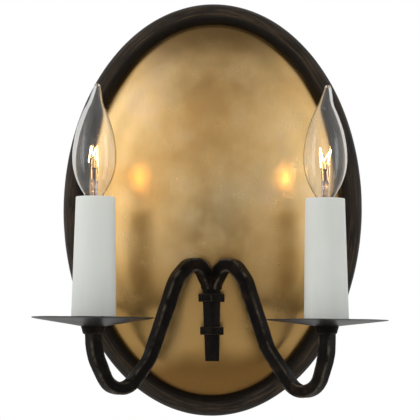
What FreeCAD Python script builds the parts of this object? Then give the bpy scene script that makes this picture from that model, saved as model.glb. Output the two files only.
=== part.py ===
import FreeCAD, Part
import math
import os

import Sketcher

# Double arm wall sconce. The wall is the plane y = 0 and the room is on the -Y side.
# The origin is the centre of the box-screw pattern, which is also the centre of the oval plate.

V = FreeCAD.Vector
doc = FreeCAD.newDocument("WallSconce")

# ---------------------------------------------------------------- driving dimensions, mm and degrees

SIZES = {
    # oval frame and plate
    "oval_width": 229.0,          # over the rim, left to right
    "oval_height": 316.3,         # over the rim, top to bottom
    "rim_bar": 15.9,              # width of the half-round bar; its height is half of this
    "rim_back": 13.0,             # how far the flat of the half-round stands off the wall
    "band_wall": 1.6,             # strip behind the rim, standing on the wall
    "band_inset": 2.5,            # how far the strip sits inside the rim's outer edge
    "plate_gauge": 0.9,           # brass sheet
    "plate_overlap": 4.0,         # flange of the sheet hidden behind the rim
    "plate_fit": 0.3,             # gap between the dome's foot and the rim
    "dome_rise": 15.0,            # height of the dome above its flange
    "dome_depth": 70.0,           # depth of the ellipsoid that the dome is cut from
    "clip_width": 10.0,
    "clip_gauge": 1.0,
    "clip_reach": 3.5,            # length of a clip's tongue on the flange
    "clip_foot": 5.5,             # length of a clip's foot on the rim
    "clip_gap": 0.4,              # between the flange's edge and a clip's foot
    # fixing to the wall
    "strap_height": 25.0,
    "strap_gauge": 2.0,
    "strap_play": 0.7,            # between the strap's ears and the band
    "ear_reach": 9.5,             # how far the strap's ears stand off the wall
    "box_screw_spacing": 88.9,
    "slot_width": 4.6,
    "slot_length": 14.0,
    "grub_radius": 2.4,
    "grub_length": 8.0,
    "grub_height": 6.0,           # grub screws, off the wall
    "screw_fit": 0.05,            # radial gap of every screw in its hole
    "ground_screw_radius": 2.0,
    "ground_head_radius": 4.0,
    "ground_head_height": 2.4,
    "ground_screw_place": 24.0,   # right of the centre
    "spine_width": 22.0,
    "spine_gauge": 3.0,
    "spine_back": 8.0,            # back of the spine bar, off the wall
    # stem
    "stem_standoff": 39.5,        # stem axis, off the wall
    "stem_top": 62.5,             # depth of the stem's top end below the origin
    "stem_end": 116.3,            # depth of its lower end
    "stem_top_corner": 6.8,       # half diagonal of the square bar at the top
    "stem_end_corner": 5.2,       # half diagonal at the lower end
    "stem_bore": 3.0,
    "collar_height": 6.2,
    "upper_collar_place": 68.7,
    "lower_collar_place": 93.5,
    "upper_collar_corner": 9.6,   # half diagonals
    "lower_collar_corner": 8.9,
    "nipple_place": 81.2,         # height of the cross nipple, below the origin
    "nipple_radius": 4.0,
    "nipple_bore": 2.7,
    "nipple_sunk": 1.0,           # how far the nipple passes the stem's axis
    "nipple_fit": 0.05,
    "nipple_end": 1.5,            # end of the nipple, off the wall
    "spacer_radius": 6.0,
    "washer_gauge": 1.0,
    "washer_radius": 7.5,
    "stem_nut_flats": 13.0,
    "stem_nut_height": 4.0,
    # arms, as routes of the bar's centre line: distance out from the stem axis, depth below the origin
    "arm_bar": 8.8,
    "arm_wall": 2.3,              # the bar is a square tube
    "arm_angle": 33.5,            # each arm's plane is turned this far out of the wall's
    "candle_spread": 170.6,       # between the two candle axes
    "foot_out": 1.6,
    "foot_rise": 4.0,             # how far the arm stands straight up on the stem
    "foot_radius": 10.0,
    "crown_out": 12.8,
    "crown_depth": 34.6,
    "crown_radius": 9.0,
    "shoulder_out": 31.2,
    "shoulder_depth": 61.2,
    "shoulder_radius": 24.0,
    "left_bend_out": 54.4,
    "left_bend_depth": 116.2,
    "left_hook_out": 82.3,
    "left_hook_drop": 51.5,       # hooks and risers are measured down from the cup's underside
    "right_bend_out": 51.5,
    "right_bend_depth": 107.0,
    "right_hook_out": 88.3,
    "right_hook_drop": 57.0,
    "bend_radius": 24.0,
    "hook_radius": 15.0,
    "riser_drop": 13.1,
    "riser_radius": 40.0,
    # cup, pan and what clamps them
    "cup_base": 96.9,             # depth of the cup's underside below the origin
    "cup_height": 6.5,
    "cup_base_radius": 7.1,
    "cup_top_radius": 8.6,
    "cup_bevel": 0.8,
    "pan_radius": 45.0,
    "pan_gauge": 1.2,
    "pan_dish": 4.8,              # how much higher the pan's edge is than its centre
    "tube_radius": 3.0,           # threaded tube through cup, pan and holder bracket
    "tube_bore": 1.9,
    "tube_sunk": 6.0,             # length of it inside the arm
    "tube_proud": 1.5,            # length of it above the lock nut
    "lock_nut_flats": 9.0,
    "lock_nut_height": 3.0,
    "seat_gauge": 1.2,            # least thickness of the seat ring's floor
    "seat_wall": 1.2,
    "seat_height": 3.4,
    "seat_fit": 0.35,             # between the seat ring and the sleeve
    # candle sleeve
    "sleeve_base_radius": 16.45,
    "sleeve_top_radius": 14.5,
    "sleeve_wall": 1.0,
    "sleeve_top": 3.2,            # height of the sleeve's top above the origin
    "sleeve_rest": 0.2,           # gap between the sleeve and the pan it stands on
    # lamp holder
    "bracket_width": 10.0,
    "bracket_gauge": 1.5,
    "bracket_tab": 7.0,           # half length of the tab under the lock nut
    "bracket_lap": 14.0,          # how far the upright laps the holder's body
    "holder_radius": 9.0,
    "holder_bore": 6.7,
    "holder_top": 6.0,            # depth below the origin
    "holder_bottom": 42.0,
    "shell_wall": 0.4,
    "shell_radius": 6.6,
    "shell_length": 13.0,
    "contact_radius": 2.5,
    "contact_gauge": 0.6,
    "contact_gap": 0.1,           # between the lamp's tip and the holder's contact
    # lamp
    "cap_radius": 5.95,
    "cap_wall": 0.35,
    "cap_base": 17.0,             # depth of the cap's lower edge
    "cap_shoulder": 5.0,          # depth where the cap widens
    "cap_top": 2.0,               # depth of its upper edge
    "cap_top_radius": 7.0,
    "insulator_height": 1.6,
    "tip_radius": 2.2,
    "tip_point_radius": 1.3,
    "tip_height": 0.9,
    "glass_wall": 0.8,
    "glass_fit": 0.15,            # between the glass neck and the cap
    "flare_radius": 8.8,
    "flare_height": 5.2,
    "belly_radius": 15.9,
    "belly_height": 32.0,
    "shoulder_glass_radius": 8.4,
    "shoulder_glass_height": 66.0,
    "flame_radius": 4.3,
    "flame_height": 78.0,
    "flame_tip": 86.3,
    "flame_lean": 1.2,            # sideways bend of the glass tip
    "flare_curve": 9.0,
    "lower_belly_curve": 31.0,
    "upper_belly_curve": 75.0,
    "mount_foot_radius": 4.6,
    "mount_radius": 2.0,
    "mount_height": 15.0,
    "wire_radius": 0.35,
    "wire_spread": 1.2,           # outer wires, off the axis at the glass foot
    "wire_gap": 0.1,              # between a wire and the filament or the glass it comes from
    "filament_radius": 0.3,
    "filament_low": 27.5,
    "filament_mid": 35.5,
    "filament_high": 41.0,
    "filament_half_width": 3.6,
    "left_filament_turn": 8.0,
    "right_filament_turn": -20.0,
}


class Size:
    """A length or an angle that keeps the sheet expression it is worked out from."""

    def __init__(self, value, text):
        self.value = value
        self.text = text

    def joined(self, other, sign, value):
        return Size(value, "(" + self.text + " " + sign + " " + as_text(other) + ")")

    def __add__(self, other):
        return self.joined(other, "+", self.value + as_value(other))

    def __sub__(self, other):
        return self.joined(other, "-", self.value - as_value(other))

    def __mul__(self, other):
        return self.joined(other, "*", self.value * as_value(other))

    def __truediv__(self, other):
        return self.joined(other, "/", self.value / as_value(other))

    def __radd__(self, other):
        return as_size(other) + self

    def __rsub__(self, other):
        return as_size(other) - self

    def __rmul__(self, other):
        return as_size(other) * self

    def __neg__(self):
        return Size(-self.value, "(-1 * " + self.text + ")")


def as_value(item):
    return item.value if isinstance(item, Size) else float(item)


def as_text(item):
    return item.text if isinstance(item, Size) else format(float(item), ".9g")


def as_size(item):
    return item if isinstance(item, Size) else Size(float(item), as_text(item))


def cosine(angle):
    return Size(math.cos(math.radians(angle.value)), "cos(" + angle.text + ")")


def sine(angle):
    return Size(math.sin(math.radians(angle.value)), "sin(" + angle.text + ")")


def root(item):
    return Size(math.sqrt(item.value), "sqrt(" + item.text + ")")


sheet = doc.addObject("Spreadsheet::Sheet", "Sizes")
for row, (alias, number) in enumerate(SIZES.items(), start=1):
    cell = "A" + str(row)
    sheet.set(cell, str(number))
    sheet.setAlias(cell, alias)
doc.recompute()


class SheetSizes:
    """The sheet's sizes by name."""

    def __getattr__(self, alias):
        return Size(float(getattr(sheet, alias)), "Sizes." + alias)


S = SheetSizes()


# ---------------------------------------------------------------- helpers

def bind(thing, **properties):
    """Bind properties to sizes; a double underscore stands for a dot."""
    for name, size in properties.items():
        path = name.replace("__", ".")
        if isinstance(size, Size):
            thing.setExpression(path, size.text)
        else:
            thing.setExpression(path, as_text(size))


def place(thing, x=0, y=0, z=0):
    bind(thing, Placement__Base__x=x, Placement__Base__y=y, Placement__Base__z=z)
    return thing


def primitive(kind, name, at=(0, 0, 0), turn=None, **sizes):
    """A Part primitive with its sizes and place bound to the sheet."""
    thing = doc.addObject("Part::" + kind, name)
    if turn is not None:
        thing.Placement = FreeCAD.Placement(V(0, 0, 0), turn)
    bind(thing, **sizes)
    return place(thing, *at)


def boolean(kind, name, base, tool):
    thing = doc.addObject("Part::" + kind, name)
    thing.Base = base
    thing.Tool = tool
    return thing


def new_body(name):
    return doc.addObject("PartDesign::Body", name)


def new_sketch(body, role, offset=0):
    """A sketch on one of the body's own origin planes, moved along its normal."""
    sketch = body.newObject("Sketcher::SketchObject", body.Name + "_sketch")
    plane = next(item for item in body.Origin.OriginFeatures if item.Role == role)
    sketch.AttachmentSupport = [(plane, "")]
    sketch.MapMode = "FlatFace"
    if isinstance(offset, Size) or offset:
        bind(sketch, AttachmentOffset__Base__z=offset)
    return sketch


def hold_point(sketch, geometry, end, x, y):
    """Fix a point of a sketch at sizes measured from the sketch's origin."""
    for kind, size, axis in (("DistanceX", x, -2), ("DistanceY", y, -1)):
        if not isinstance(size, Size) and float(size) == 0.0:
            sketch.addConstraint(Sketcher.Constraint("PointOnObject", geometry, end, axis))
            continue
        index = sketch.addConstraint(Sketcher.Constraint(kind, -1, 1, geometry, end, as_value(size)))
        sketch.setExpression("Constraints[" + str(index) + "]", as_text(size))


def hold_radius(sketch, geometry, radius):
    index = sketch.addConstraint(Sketcher.Constraint("Radius", geometry, as_value(radius)))
    sketch.setExpression("Constraints[" + str(index) + "]", as_text(radius))


def short_arc(start, end, radius, turn):
    """The arc under half a circle from start to end; turn is +1 to the left, -1 to the right."""
    chord = end - start
    side = V(-chord.y, chord.x, 0).normalize() * turn
    rise = math.sqrt(radius ** 2 - (chord.Length / 2) ** 2)
    centre = (start + end) * 0.5 + side * rise
    middle = centre - side * radius
    return Part.Arc(start, middle, end)


def outline(sketch, steps):
    """A closed outline. A step is (x, y), reached by a line, or (x, y, radius, turn), by an arc."""
    points = [V(as_value(step[0]), as_value(step[1]), 0) for step in steps]
    ends = []
    for index, step in enumerate(steps):
        start, end = points[index - 1], points[index]
        if len(step) == 2:
            geometry = sketch.addGeometry(Part.LineSegment(start, end))
            ends.append((geometry, 1, 2))
        else:
            geometry = sketch.addGeometry(short_arc(start, end, as_value(step[2]), step[3]))
            ends.append((geometry, 1, 2) if step[3] > 0 else (geometry, 2, 1))
    for index, (geometry, first, last) in enumerate(ends):
        following, following_first, _ = ends[(index + 1) % len(ends)]
        sketch.addConstraint(Sketcher.Constraint("Coincident", geometry, last, following, following_first))
    for (geometry, _, last), step in zip(ends, steps):
        hold_point(sketch, geometry, last, step[0], step[1])
        if len(step) > 2:
            hold_radius(sketch, geometry, step[2])
    return sketch


def circle(sketch, radius, x=0, y=0):
    geometry = sketch.addGeometry(Part.Circle(V(as_value(x), as_value(y), 0), V(0, 0, 1), as_value(radius)))
    if as_value(x) == 0 and as_value(y) == 0:
        sketch.addConstraint(Sketcher.Constraint("Coincident", geometry, 3, -1, 1))
    else:
        hold_point(sketch, geometry, 3, x, y)
    hold_radius(sketch, geometry, radius)
    return sketch


def feature(body, kind, profile, **settings):
    thing = body.newObject("PartDesign::" + kind, body.Name + "_" + kind)
    thing.Profile = profile
    for name, setting in settings.items():
        if isinstance(setting, Size):
            bind(thing, **{name: setting})
        else:
            setattr(thing, name, setting)
    return thing


def turned(name, steps, x=0, y=0):
    """A piece turned about a vertical axis. Steps are (radius, height)."""
    body = new_body(name)
    sketch = outline(new_sketch(body, "XZ_Plane"), steps)
    feature(body, "Revolution", sketch, ReferenceAxis=(sketch, ["V_Axis"]), Angle=360.0)
    return place(body, x, y)


def polygon(flats, count=6, start=0.0):
    """Corner points of a regular polygon, from its distance across flats."""
    corner = flats / (2 * math.cos(math.pi / count))
    angles = [start + 2 * math.pi * index / count for index in range(count)]
    return [(corner * math.cos(angle), corner * math.sin(angle)) for angle in angles]


def diamond(corner):
    return [(corner, 0), (0, corner), (-corner, 0), (0, -corner)]


nodes = {}


def node(label, thing):
    """Give a finished sub-part the name that its file gets."""
    thing.Label = label
    nodes[label] = thing
    return thing


# Turns the XY plane of an ellipse so that its long axis stands up and its normal points at the wall.
UPRIGHT = FreeCAD.Rotation(V(1, 1, 1), 240)
# Turns a vertical cylinder so that it points from the room to the wall.
TO_WALL = FreeCAD.Rotation(V(1, 0, 0), -90)

half_width = S.oval_width / 2
half_height = S.oval_height / 2


def oval(name, inset, off_wall):
    """An upright ellipse, inset from the rim's outer edge, at a distance off the wall."""
    return primitive("Ellipse", name, (0, -off_wall, 0), UPRIGHT,
                     MajorRadius=half_height - inset, MinorRadius=half_width - inset)


def oval_slab(name, inset, front, thickness):
    """A solid oval disc whose front face stands at a distance off the wall."""
    slab = doc.addObject("Part::Extrusion", name)
    slab.Base = oval(name + "_edge", inset, front)
    slab.DirMode = "Custom"
    slab.Dir = V(0, 1, 0)
    slab.Solid = True
    bind(slab, LengthFwd=thickness)
    return slab


def hole_to_wall(name, radius, x=0, z=0):
    """A drill along Y, long enough for every piece of the fitting."""
    depth = S.stem_standoff + S.stem_top_corner * 2
    return primitive("Cylinder", name, (x, -depth, z), TO_WALL, Radius=radius, Height=depth * 2)


# ---------------------------------------------------------------- oval frame

RIM_ARCS = 16                     # arcs that the rim's centre line is drawn with


def on_rim(share):
    """A point of the rim's centre line, from its share of a turn to the left of the top."""
    angle = 2 * math.pi * share
    wide, high = -math.sin(angle), math.cos(angle)
    return (0 if abs(wide) < 1e-9 else (half_width - S.rim_bar / 2) * wide,
            0 if abs(high) < 1e-9 else (half_height - S.rim_bar / 2) * high)


def rim_route(body):
    """The oval as short arcs, each through three of its points."""
    sketch = new_sketch(body, "XZ_Plane", S.rim_back)
    for index in range(RIM_ARCS):
        places = [on_rim((index + part) / RIM_ARCS) for part in (0, 0.5, 1)]
        start, middle, end = [V(as_value(x), as_value(z), 0) for x, z in places]
        arc = sketch.addGeometry(Part.Arc(start, middle, end))
        mark = sketch.addGeometry(Part.Point(middle), True)
        hold_point(sketch, arc, 1, *places[0])
        hold_point(sketch, mark, 1, *places[1])
        sketch.addConstraint(Sketcher.Constraint("PointOnObject", mark, 1, arc))
        if index > 0:
            sketch.addConstraint(Sketcher.Constraint("Coincident", before, 2, arc, 1))
        else:
            first = arc
        before = arc
    sketch.addConstraint(Sketcher.Constraint("Coincident", before, 2, first, 1))
    return sketch


def build_rim():
    """Half-round bar bent to an oval, its flat towards the wall."""
    path = rim_route(new_body("rim_line"))
    body = new_body("rim_section")
    sketch = new_sketch(body, "YZ_Plane")
    flat = -S.rim_back
    centre = half_height - S.rim_bar / 2
    top = centre + S.rim_bar / 2
    bottom = centre - S.rim_bar / 2
    crest = flat - S.rim_bar / 2
    line = sketch.addGeometry(Part.LineSegment(V(flat.value, bottom.value, 0), V(flat.value, top.value, 0)))
    round_side = sketch.addGeometry(Part.Arc(V(flat.value, top.value, 0), V(crest.value, centre.value, 0),
                                             V(flat.value, bottom.value, 0)))
    sketch.addConstraint(Sketcher.Constraint("Coincident", line, 2, round_side, 1))
    sketch.addConstraint(Sketcher.Constraint("Coincident", line, 1, round_side, 2))
    hold_point(sketch, line, 1, flat, bottom)
    hold_point(sketch, line, 2, flat, top)
    sketch.addConstraint(Sketcher.Constraint("PointOnObject", round_side, 3, line))
    sweep = doc.addObject("Part::Sweep", "rim")
    sweep.Sections = [sketch]
    sweep.Spine = (path, ["Edge" + str(index + 1) for index in range(RIM_ARCS)])
    sweep.Solid = True
    sweep.Frenet = False
    sweep.Transition = "Transformed"
    return node("rim", sweep)


def grub_holes():
    """Two drills along X through the band and the strap's ears."""
    reach = half_width * 2
    return primitive("Cylinder", "grub_drill", (-half_width, -S.grub_height, 0),
                     FreeCAD.Rotation(V(0, 1, 0), 90),
                     Radius=S.grub_radius + S.screw_fit, Height=reach)


def build_rim_band(drill):
    """Strip on edge behind the rim, which closes the side down to the wall."""
    outer = oval_slab("band_outer", S.band_inset, S.rim_back, S.rim_back)
    inner = oval_slab("band_inner", S.band_inset + S.band_wall, S.rim_back, S.rim_back)
    ring = boolean("Cut", "band_ring", outer, inner)
    return node("rim_band", boolean("Cut", "rim_band", ring, drill))


def dome(name, skin):
    """Ellipsoid of the dome, less a skin; its foot meets the flange's plane just inside the rim."""
    cut = 1 - S.dome_rise / S.dome_depth
    spread = root(1 - cut * cut)
    foot_inset = S.rim_bar + S.plate_fit
    return primitive("Ellipsoid", name, (0, S.dome_depth - S.dome_rise - S.rim_back, 0), None,
                     Radius1=(half_height - foot_inset) / spread - skin,
                     Radius2=(half_width - foot_inset) / spread - skin,
                     Radius3=S.dome_depth - skin, Angle1=-90, Angle2=90, Angle3=360)


def dome_outside(name):
    return dome(name, 0)


def dome_inside(name):
    return dome(name, S.plate_gauge)


def front_half(name, off_wall):
    """Everything in front of a plane that stands off the wall."""
    side = S.oval_height * 2
    return primitive("Box", name, (-half_height * 2, -off_wall - side, -half_height * 2), None,
                     Length=side, Width=side, Height=side)


def build_brass_plate():
    """Domed sheet with a flat flange behind the rim and a hole for the stem's nipple."""
    solid_dome = boolean("Common", "plate_dome", dome_outside("plate_outside"),
                         front_half("plate_front", S.rim_back - S.plate_gauge / 2))
    flange = oval_slab("plate_flange", S.rim_bar - S.plate_overlap, S.rim_back, S.plate_gauge)
    blank = boolean("Fuse", "plate_blank", solid_dome, flange)
    hollow = boolean("Cut", "plate_hollow", blank, dome_inside("plate_inside"))
    drill = hole_to_wall("plate_drill", S.nipple_radius + S.nipple_fit, 0, -S.nipple_place)
    return node("brass_plate", boolean("Cut", "brass_plate", hollow, drill))


def build_plate_clips():
    """Six joggled clips on the rim's back that press the flange against it."""
    flat = S.rim_back
    over = flat - S.plate_gauge
    edge_inset = S.rim_bar - S.plate_overlap
    clips = []
    for index in range(6):
        angle = math.radians(30 + 60 * index)
        away_x = half_width - edge_inset
        away_z = half_height - edge_inset
        body = new_body("clip_" + str(index + 1))
        steps = [(S.clip_gap, -flat), (S.clip_gap + S.clip_foot, -flat),
                 (S.clip_gap + S.clip_foot, S.clip_gauge - flat),
                 (S.clip_gap + S.clip_gauge, S.clip_gauge - flat),
                 (S.clip_gap + S.clip_gauge, S.clip_gauge - over), (-S.clip_reach, S.clip_gauge - over),
                 (-S.clip_reach, -over), (S.clip_gap, -over)]
        sketch = outline(new_sketch(body, "XY_Plane"), steps)
        feature(body, "Pad", sketch, Length=S.clip_width, Midplane=True)
        across = math.degrees(math.atan2(math.sin(angle) / away_z.value, math.cos(angle) / away_x.value))
        body.Placement = FreeCAD.Placement(V(0, 0, 0), FreeCAD.Rotation(V(0, 1, 0), -across))
        place(body, away_x * math.cos(angle), 0, away_z * math.sin(angle))
        clips.append(body)
    group = doc.addObject("Part::Compound", "plate_clips")
    group.Links = clips
    return node("plate_clips", group)


# ---------------------------------------------------------------- fixing to the wall

def build_wall_strap(drill):
    """Flat strap on the outlet box, with slots for the box screws and an ear at each end."""
    half_length = half_width - S.band_inset - S.band_wall - S.strap_play
    body = new_body("strap_bent")
    gauge = S.strap_gauge
    steps = [(-half_length, 0), (half_length, 0), (half_length, -S.ear_reach),
             (half_length - gauge, -S.ear_reach), (half_length - gauge, -gauge),
             (gauge - half_length, -gauge), (gauge - half_length, -S.ear_reach),
             (-half_length, -S.ear_reach)]
    sketch = outline(new_sketch(body, "XY_Plane"), steps)
    feature(body, "Pad", sketch, Length=S.strap_height, Midplane=True)
    slots = []
    for side in (-1, 1):
        middle = side * S.box_screw_spacing / 2
        straight = S.slot_length - S.slot_width
        slots.append(primitive("Box", "slot_middle", (middle - straight / 2, -gauge * 2, -S.slot_width / 2), None,
                               Length=straight, Width=gauge * 3, Height=S.slot_width))
        for end in (-1, 1):
            slots.append(primitive("Cylinder", "slot_end", (middle + end * straight / 2, -gauge * 2, 0), TO_WALL,
                                   Radius=S.slot_width / 2, Height=gauge * 3))
    slots.append(primitive("Cylinder", "ground_hole", (S.ground_screw_place, -gauge * 2, 0), TO_WALL,
                           Radius=S.ground_screw_radius + S.screw_fit, Height=gauge * 3))
    cuts = doc.addObject("Part::MultiFuse", "strap_cuts")
    cuts.Shapes = slots
    slotted = boolean("Cut", "strap_slotted", body, cuts)
    return node("wall_strap", boolean("Cut", "wall_strap", slotted, drill))


def build_ground_screw():
    shank = primitive("Cylinder", "ground_shank", (S.ground_screw_place, -S.strap_gauge, 0), TO_WALL,
                      Radius=S.ground_screw_radius, Height=S.strap_gauge)
    head = primitive("Cylinder", "ground_head", (S.ground_screw_place, -S.strap_gauge - S.ground_head_height, 0),
                     TO_WALL, Radius=S.ground_head_radius, Height=S.ground_head_height)
    return node("ground_screw", boolean("Fuse", "ground_screw", head, shank))


def build_rim_set_screws():
    """Two headless screws through the band's sides into the strap's ears."""
    screws = []
    outside = half_width - S.band_inset
    for side, start in ((-1, -outside), (1, outside - S.grub_length)):
        screws.append(primitive("Cylinder", "grub_" + ("left" if side < 0 else "right"),
                                (start, -S.grub_height, 0), FreeCAD.Rotation(V(0, 1, 0), 90),
                                Radius=S.grub_radius, Height=S.grub_length))
    group = doc.addObject("Part::Compound", "rim_set_screws")
    group.Links = screws
    return node("rim_set_screws", group)


def build_spine_bar():
    """Flat bar across the inside of the band, which carries the stem."""
    bar = primitive("Box", "spine_blank", (-S.spine_width / 2, -S.spine_back - S.spine_gauge, -half_height), None,
                    Length=S.spine_width, Width=S.spine_gauge, Height=S.oval_height)
    room = oval_slab("spine_room", S.band_inset + S.band_wall, S.spine_back + S.spine_gauge, S.spine_gauge)
    fitted = boolean("Common", "spine_fitted", bar, room)
    drill = hole_to_wall("spine_drill", S.nipple_radius + S.nipple_fit, 0, -S.nipple_place)
    return node("spine_bar", boolean("Cut", "spine_bar", fitted, drill))


# ---------------------------------------------------------------- stem

def stem_blank(name):
    """Square bar on the diamond, tapering downwards."""
    body = new_body(name)
    top = outline(new_sketch(body, "XY_Plane", -S.stem_top), diamond(S.stem_top_corner))
    end = outline(new_sketch(body, "XY_Plane", -S.stem_end), diamond(S.stem_end_corner))
    feature(body, "AdditiveLoft", top, Sections=[end], Ruled=True)
    return place(body, 0, -S.stem_standoff)


def build_stem():
    """Tapered bar, bored from the top for the leads and from the back for the nipple."""
    blank = stem_blank("stem_bar")
    depth = S.nipple_place - S.stem_top + S.nipple_bore
    well = primitive("Cylinder", "stem_well", (0, -S.stem_standoff, -S.stem_top - depth), None,
                     Radius=S.stem_bore, Height=depth)
    cross = primitive("Cylinder", "stem_cross", (0, -S.stem_standoff - S.nipple_sunk, -S.nipple_place), TO_WALL,
                      Radius=S.nipple_radius, Height=S.stem_top_corner * 3)
    bored = boolean("Cut", "stem_bored", blank, well)
    return node("stem", boolean("Cut", "stem", bored, cross))


def build_collar(label, corner, depth):
    """Square collar on the diamond, cut to the stem that passes through it."""
    body = new_body(label + "_block")
    sketch = outline(new_sketch(body, "XY_Plane", -depth), diamond(corner))
    feature(body, "Pad", sketch, Length=S.collar_height, Midplane=True)
    place(body, 0, -S.stem_standoff)
    return node(label, boolean("Cut", label, body, stem_blank(label + "_core")))


def build_stem_nipple():
    """Hollow threaded rod from the stem's well to the back of the spine bar."""
    start = S.stem_standoff + S.nipple_sunk
    length = start - S.nipple_end
    rod = primitive("Cylinder", "nipple_rod", (0, -start, -S.nipple_place), TO_WALL,
                    Radius=S.nipple_radius, Height=length)
    bore = primitive("Cylinder", "nipple_hollow", (0, -start, -S.nipple_place), TO_WALL,
                     Radius=S.nipple_bore, Height=length)
    entry = primitive("Cylinder", "nipple_entry", (0, -S.stem_standoff, -S.nipple_place), None,
                      Radius=S.stem_bore, Height=S.nipple_radius * 2)
    hollow = boolean("Cut", "nipple_tube", rod, bore)
    return node("stem_nipple", boolean("Cut", "stem_nipple", hollow, entry))


def build_spacers():
    """Tubes on the nipple: one between stem and plate, one between plate and spine bar."""
    reach = S.stem_standoff - S.rim_back
    tube = primitive("Cylinder", "spacer_tube", (0, -S.stem_standoff, -S.nipple_place), TO_WALL,
                     Radius=S.spacer_radius, Height=reach)
    bored = boolean("Cut", "spacer_bored", tube,
                    hole_to_wall("spacer_drill", S.nipple_radius + S.nipple_fit, 0, -S.nipple_place))
    saddled = boolean("Cut", "spacer_saddled", bored, stem_blank("spacer_core"))
    node("spacer", boolean("Cut", "spacer", saddled, dome_outside("spacer_dome")))
    start = S.rim_back + S.dome_rise
    inner = primitive("Cylinder", "inner_tube", (0, -start, -S.nipple_place), TO_WALL,
                      Radius=S.spacer_radius, Height=start - S.spine_back - S.spine_gauge)
    inner_bored = boolean("Cut", "inner_bored", inner,
                          hole_to_wall("inner_drill", S.nipple_radius + S.nipple_fit, 0, -S.nipple_place))
    node("inner_spacer", boolean("Common", "inner_spacer", inner_bored, dome_inside("inner_dome")))


def build_washer_and_nut():
    washer = primitive("Cylinder", "washer_disc", (0, -S.spine_back, -S.nipple_place), TO_WALL,
                       Radius=S.washer_radius, Height=S.washer_gauge)
    drill = hole_to_wall("washer_drill", S.nipple_radius + S.nipple_fit, 0, -S.nipple_place)
    node("lock_washer", boolean("Cut", "lock_washer", washer, drill))
    body = new_body("stem_nut_block")
    outline(new_sketch(body, "XZ_Plane"), polygon(S.stem_nut_flats))
    feature(body, "Pad", body.Group[0], Length=S.stem_nut_height)
    place(body, 0, S.washer_gauge + S.stem_nut_height - S.spine_back, -S.nipple_place)
    drill = hole_to_wall("nut_drill", S.nipple_radius + S.nipple_fit, 0, -S.nipple_place)
    node("stem_nut", boolean("Cut", "stem_nut", body, drill))


# ---------------------------------------------------------------- arms

candle_x = S.candle_spread / 2
candle_out = candle_x / cosine(S.arm_angle)
candle_y = -S.stem_standoff - candle_out * sine(S.arm_angle)


def arm_route(name):
    """Corner points of an arm's centre line, and the radius at each corner."""
    bend = (getattr(S, name + "_bend_out"), -getattr(S, name + "_bend_depth"))
    hook = (getattr(S, name + "_hook_out"), -S.cup_base - getattr(S, name + "_hook_drop"))
    corners = [(S.foot_out, -S.stem_top), (S.foot_out, S.foot_rise - S.stem_top),
               (S.crown_out, -S.crown_depth),
               (S.shoulder_out, -S.shoulder_depth), bend, hook,
               (candle_out, -S.cup_base - S.riser_drop), (candle_out, -S.cup_base)]
    radii = [S.foot_radius, S.crown_radius, S.shoulder_radius, S.bend_radius, S.hook_radius, S.riser_radius]
    return corners, radii


def route_sketch(body, corners, radii):
    """Straight runs joined by tangent arcs, one arc at each inner corner."""
    sketch = new_sketch(body, "XZ_Plane")
    points = [V(x.value, z.value, 0) for x, z in corners]
    marks = [sketch.addGeometry(Part.Point(point), True) for point in points]
    for mark, (x, z) in zip(marks, corners):
        hold_point(sketch, mark, 1, x, z)
    starts, arcs, ends, left_turns = [points[0]], [], [], []
    for before, corner, after, radius in zip(points, points[1:], points[2:], radii):
        towards_before = (before - corner).normalize()
        towards_after = (after - corner).normalize()
        turn = math.pi - towards_before.getAngle(towards_after)
        reach = radius.value * math.tan(turn / 2)
        inward = (towards_before + towards_after).normalize()
        centre = corner + inward * (radius.value / math.cos(turn / 2))
        ends.append(corner + towards_before * reach)
        starts.append(corner + towards_after * reach)
        arcs.append(Part.Arc(ends[-1], centre - inward * radius.value, starts[-1]))
        left_turns.append(towards_after.cross(towards_before).z > 0)
    ends.append(points[-1])
    runs = [sketch.addGeometry(Part.LineSegment(start, end)) for start, end in zip(starts, ends)]
    sketch.addConstraint(Sketcher.Constraint("Coincident", runs[0], 1, marks[0], 1))
    sketch.addConstraint(Sketcher.Constraint("Coincident", runs[-1], 2, marks[-1], 1))
    for index, run in enumerate(runs):
        if index > 0:
            sketch.addConstraint(Sketcher.Constraint("PointOnObject", marks[index], 1, run))
        if index < len(runs) - 1:
            sketch.addConstraint(Sketcher.Constraint("PointOnObject", marks[index + 1], 1, run))
    for index, (arc, radius) in enumerate(zip(arcs, radii)):
        geometry = sketch.addGeometry(arc)
        first, last = (1, 2) if left_turns[index] else (2, 1)
        sketch.addConstraint(Sketcher.Constraint("Tangent", runs[index], 2, geometry, first))
        sketch.addConstraint(Sketcher.Constraint("Tangent", runs[index + 1], 1, geometry, last))
        hold_radius(sketch, geometry, radius)
    return sketch


def turn_with_arm(body, side):
    """Stand a body that is drawn in an arm's own plane at the stem axis, turned out of the wall's plane."""
    angle = -S.arm_angle if side > 0 else S.arm_angle + 180
    bind(body, Placement__Rotation__Angle=angle)
    return place(body, 0, -S.stem_standoff)


def mitre(body, side):
    """Cut the arm off at the middle plane, where its foot meets the other arm's."""
    far = S.candle_spread
    along = (sine(S.arm_angle) * far, cosine(S.arm_angle) * far * -side)
    back = (cosine(S.arm_angle) * -far, sine(S.arm_angle) * far * -side)
    steps = [along, (along[0] + back[0], along[1] + back[1]),
             (back[0] - along[0], back[1] - along[1]), (-along[0], -along[1])]
    sketch = outline(new_sketch(body, "XY_Plane"), steps)
    feature(body, "Pocket", sketch, Type="ThroughAll", Midplane=True)


def pipe(body, kind, profile, path):
    thing = feature(body, kind, profile)
    thing.Spine = (path, [])
    thing.Mode = "Binormal"
    thing.Binormal = V(0, 1, 0)
    return thing


def arm_section(body, half):
    """Square section at the arm's foot, from half its side."""
    sketch = new_sketch(body, "XY_Plane", -S.stem_top)
    return outline(sketch, [(S.foot_out + half, half), (S.foot_out - half, half),
                            (S.foot_out - half, -half), (S.foot_out + half, -half)])


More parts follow.
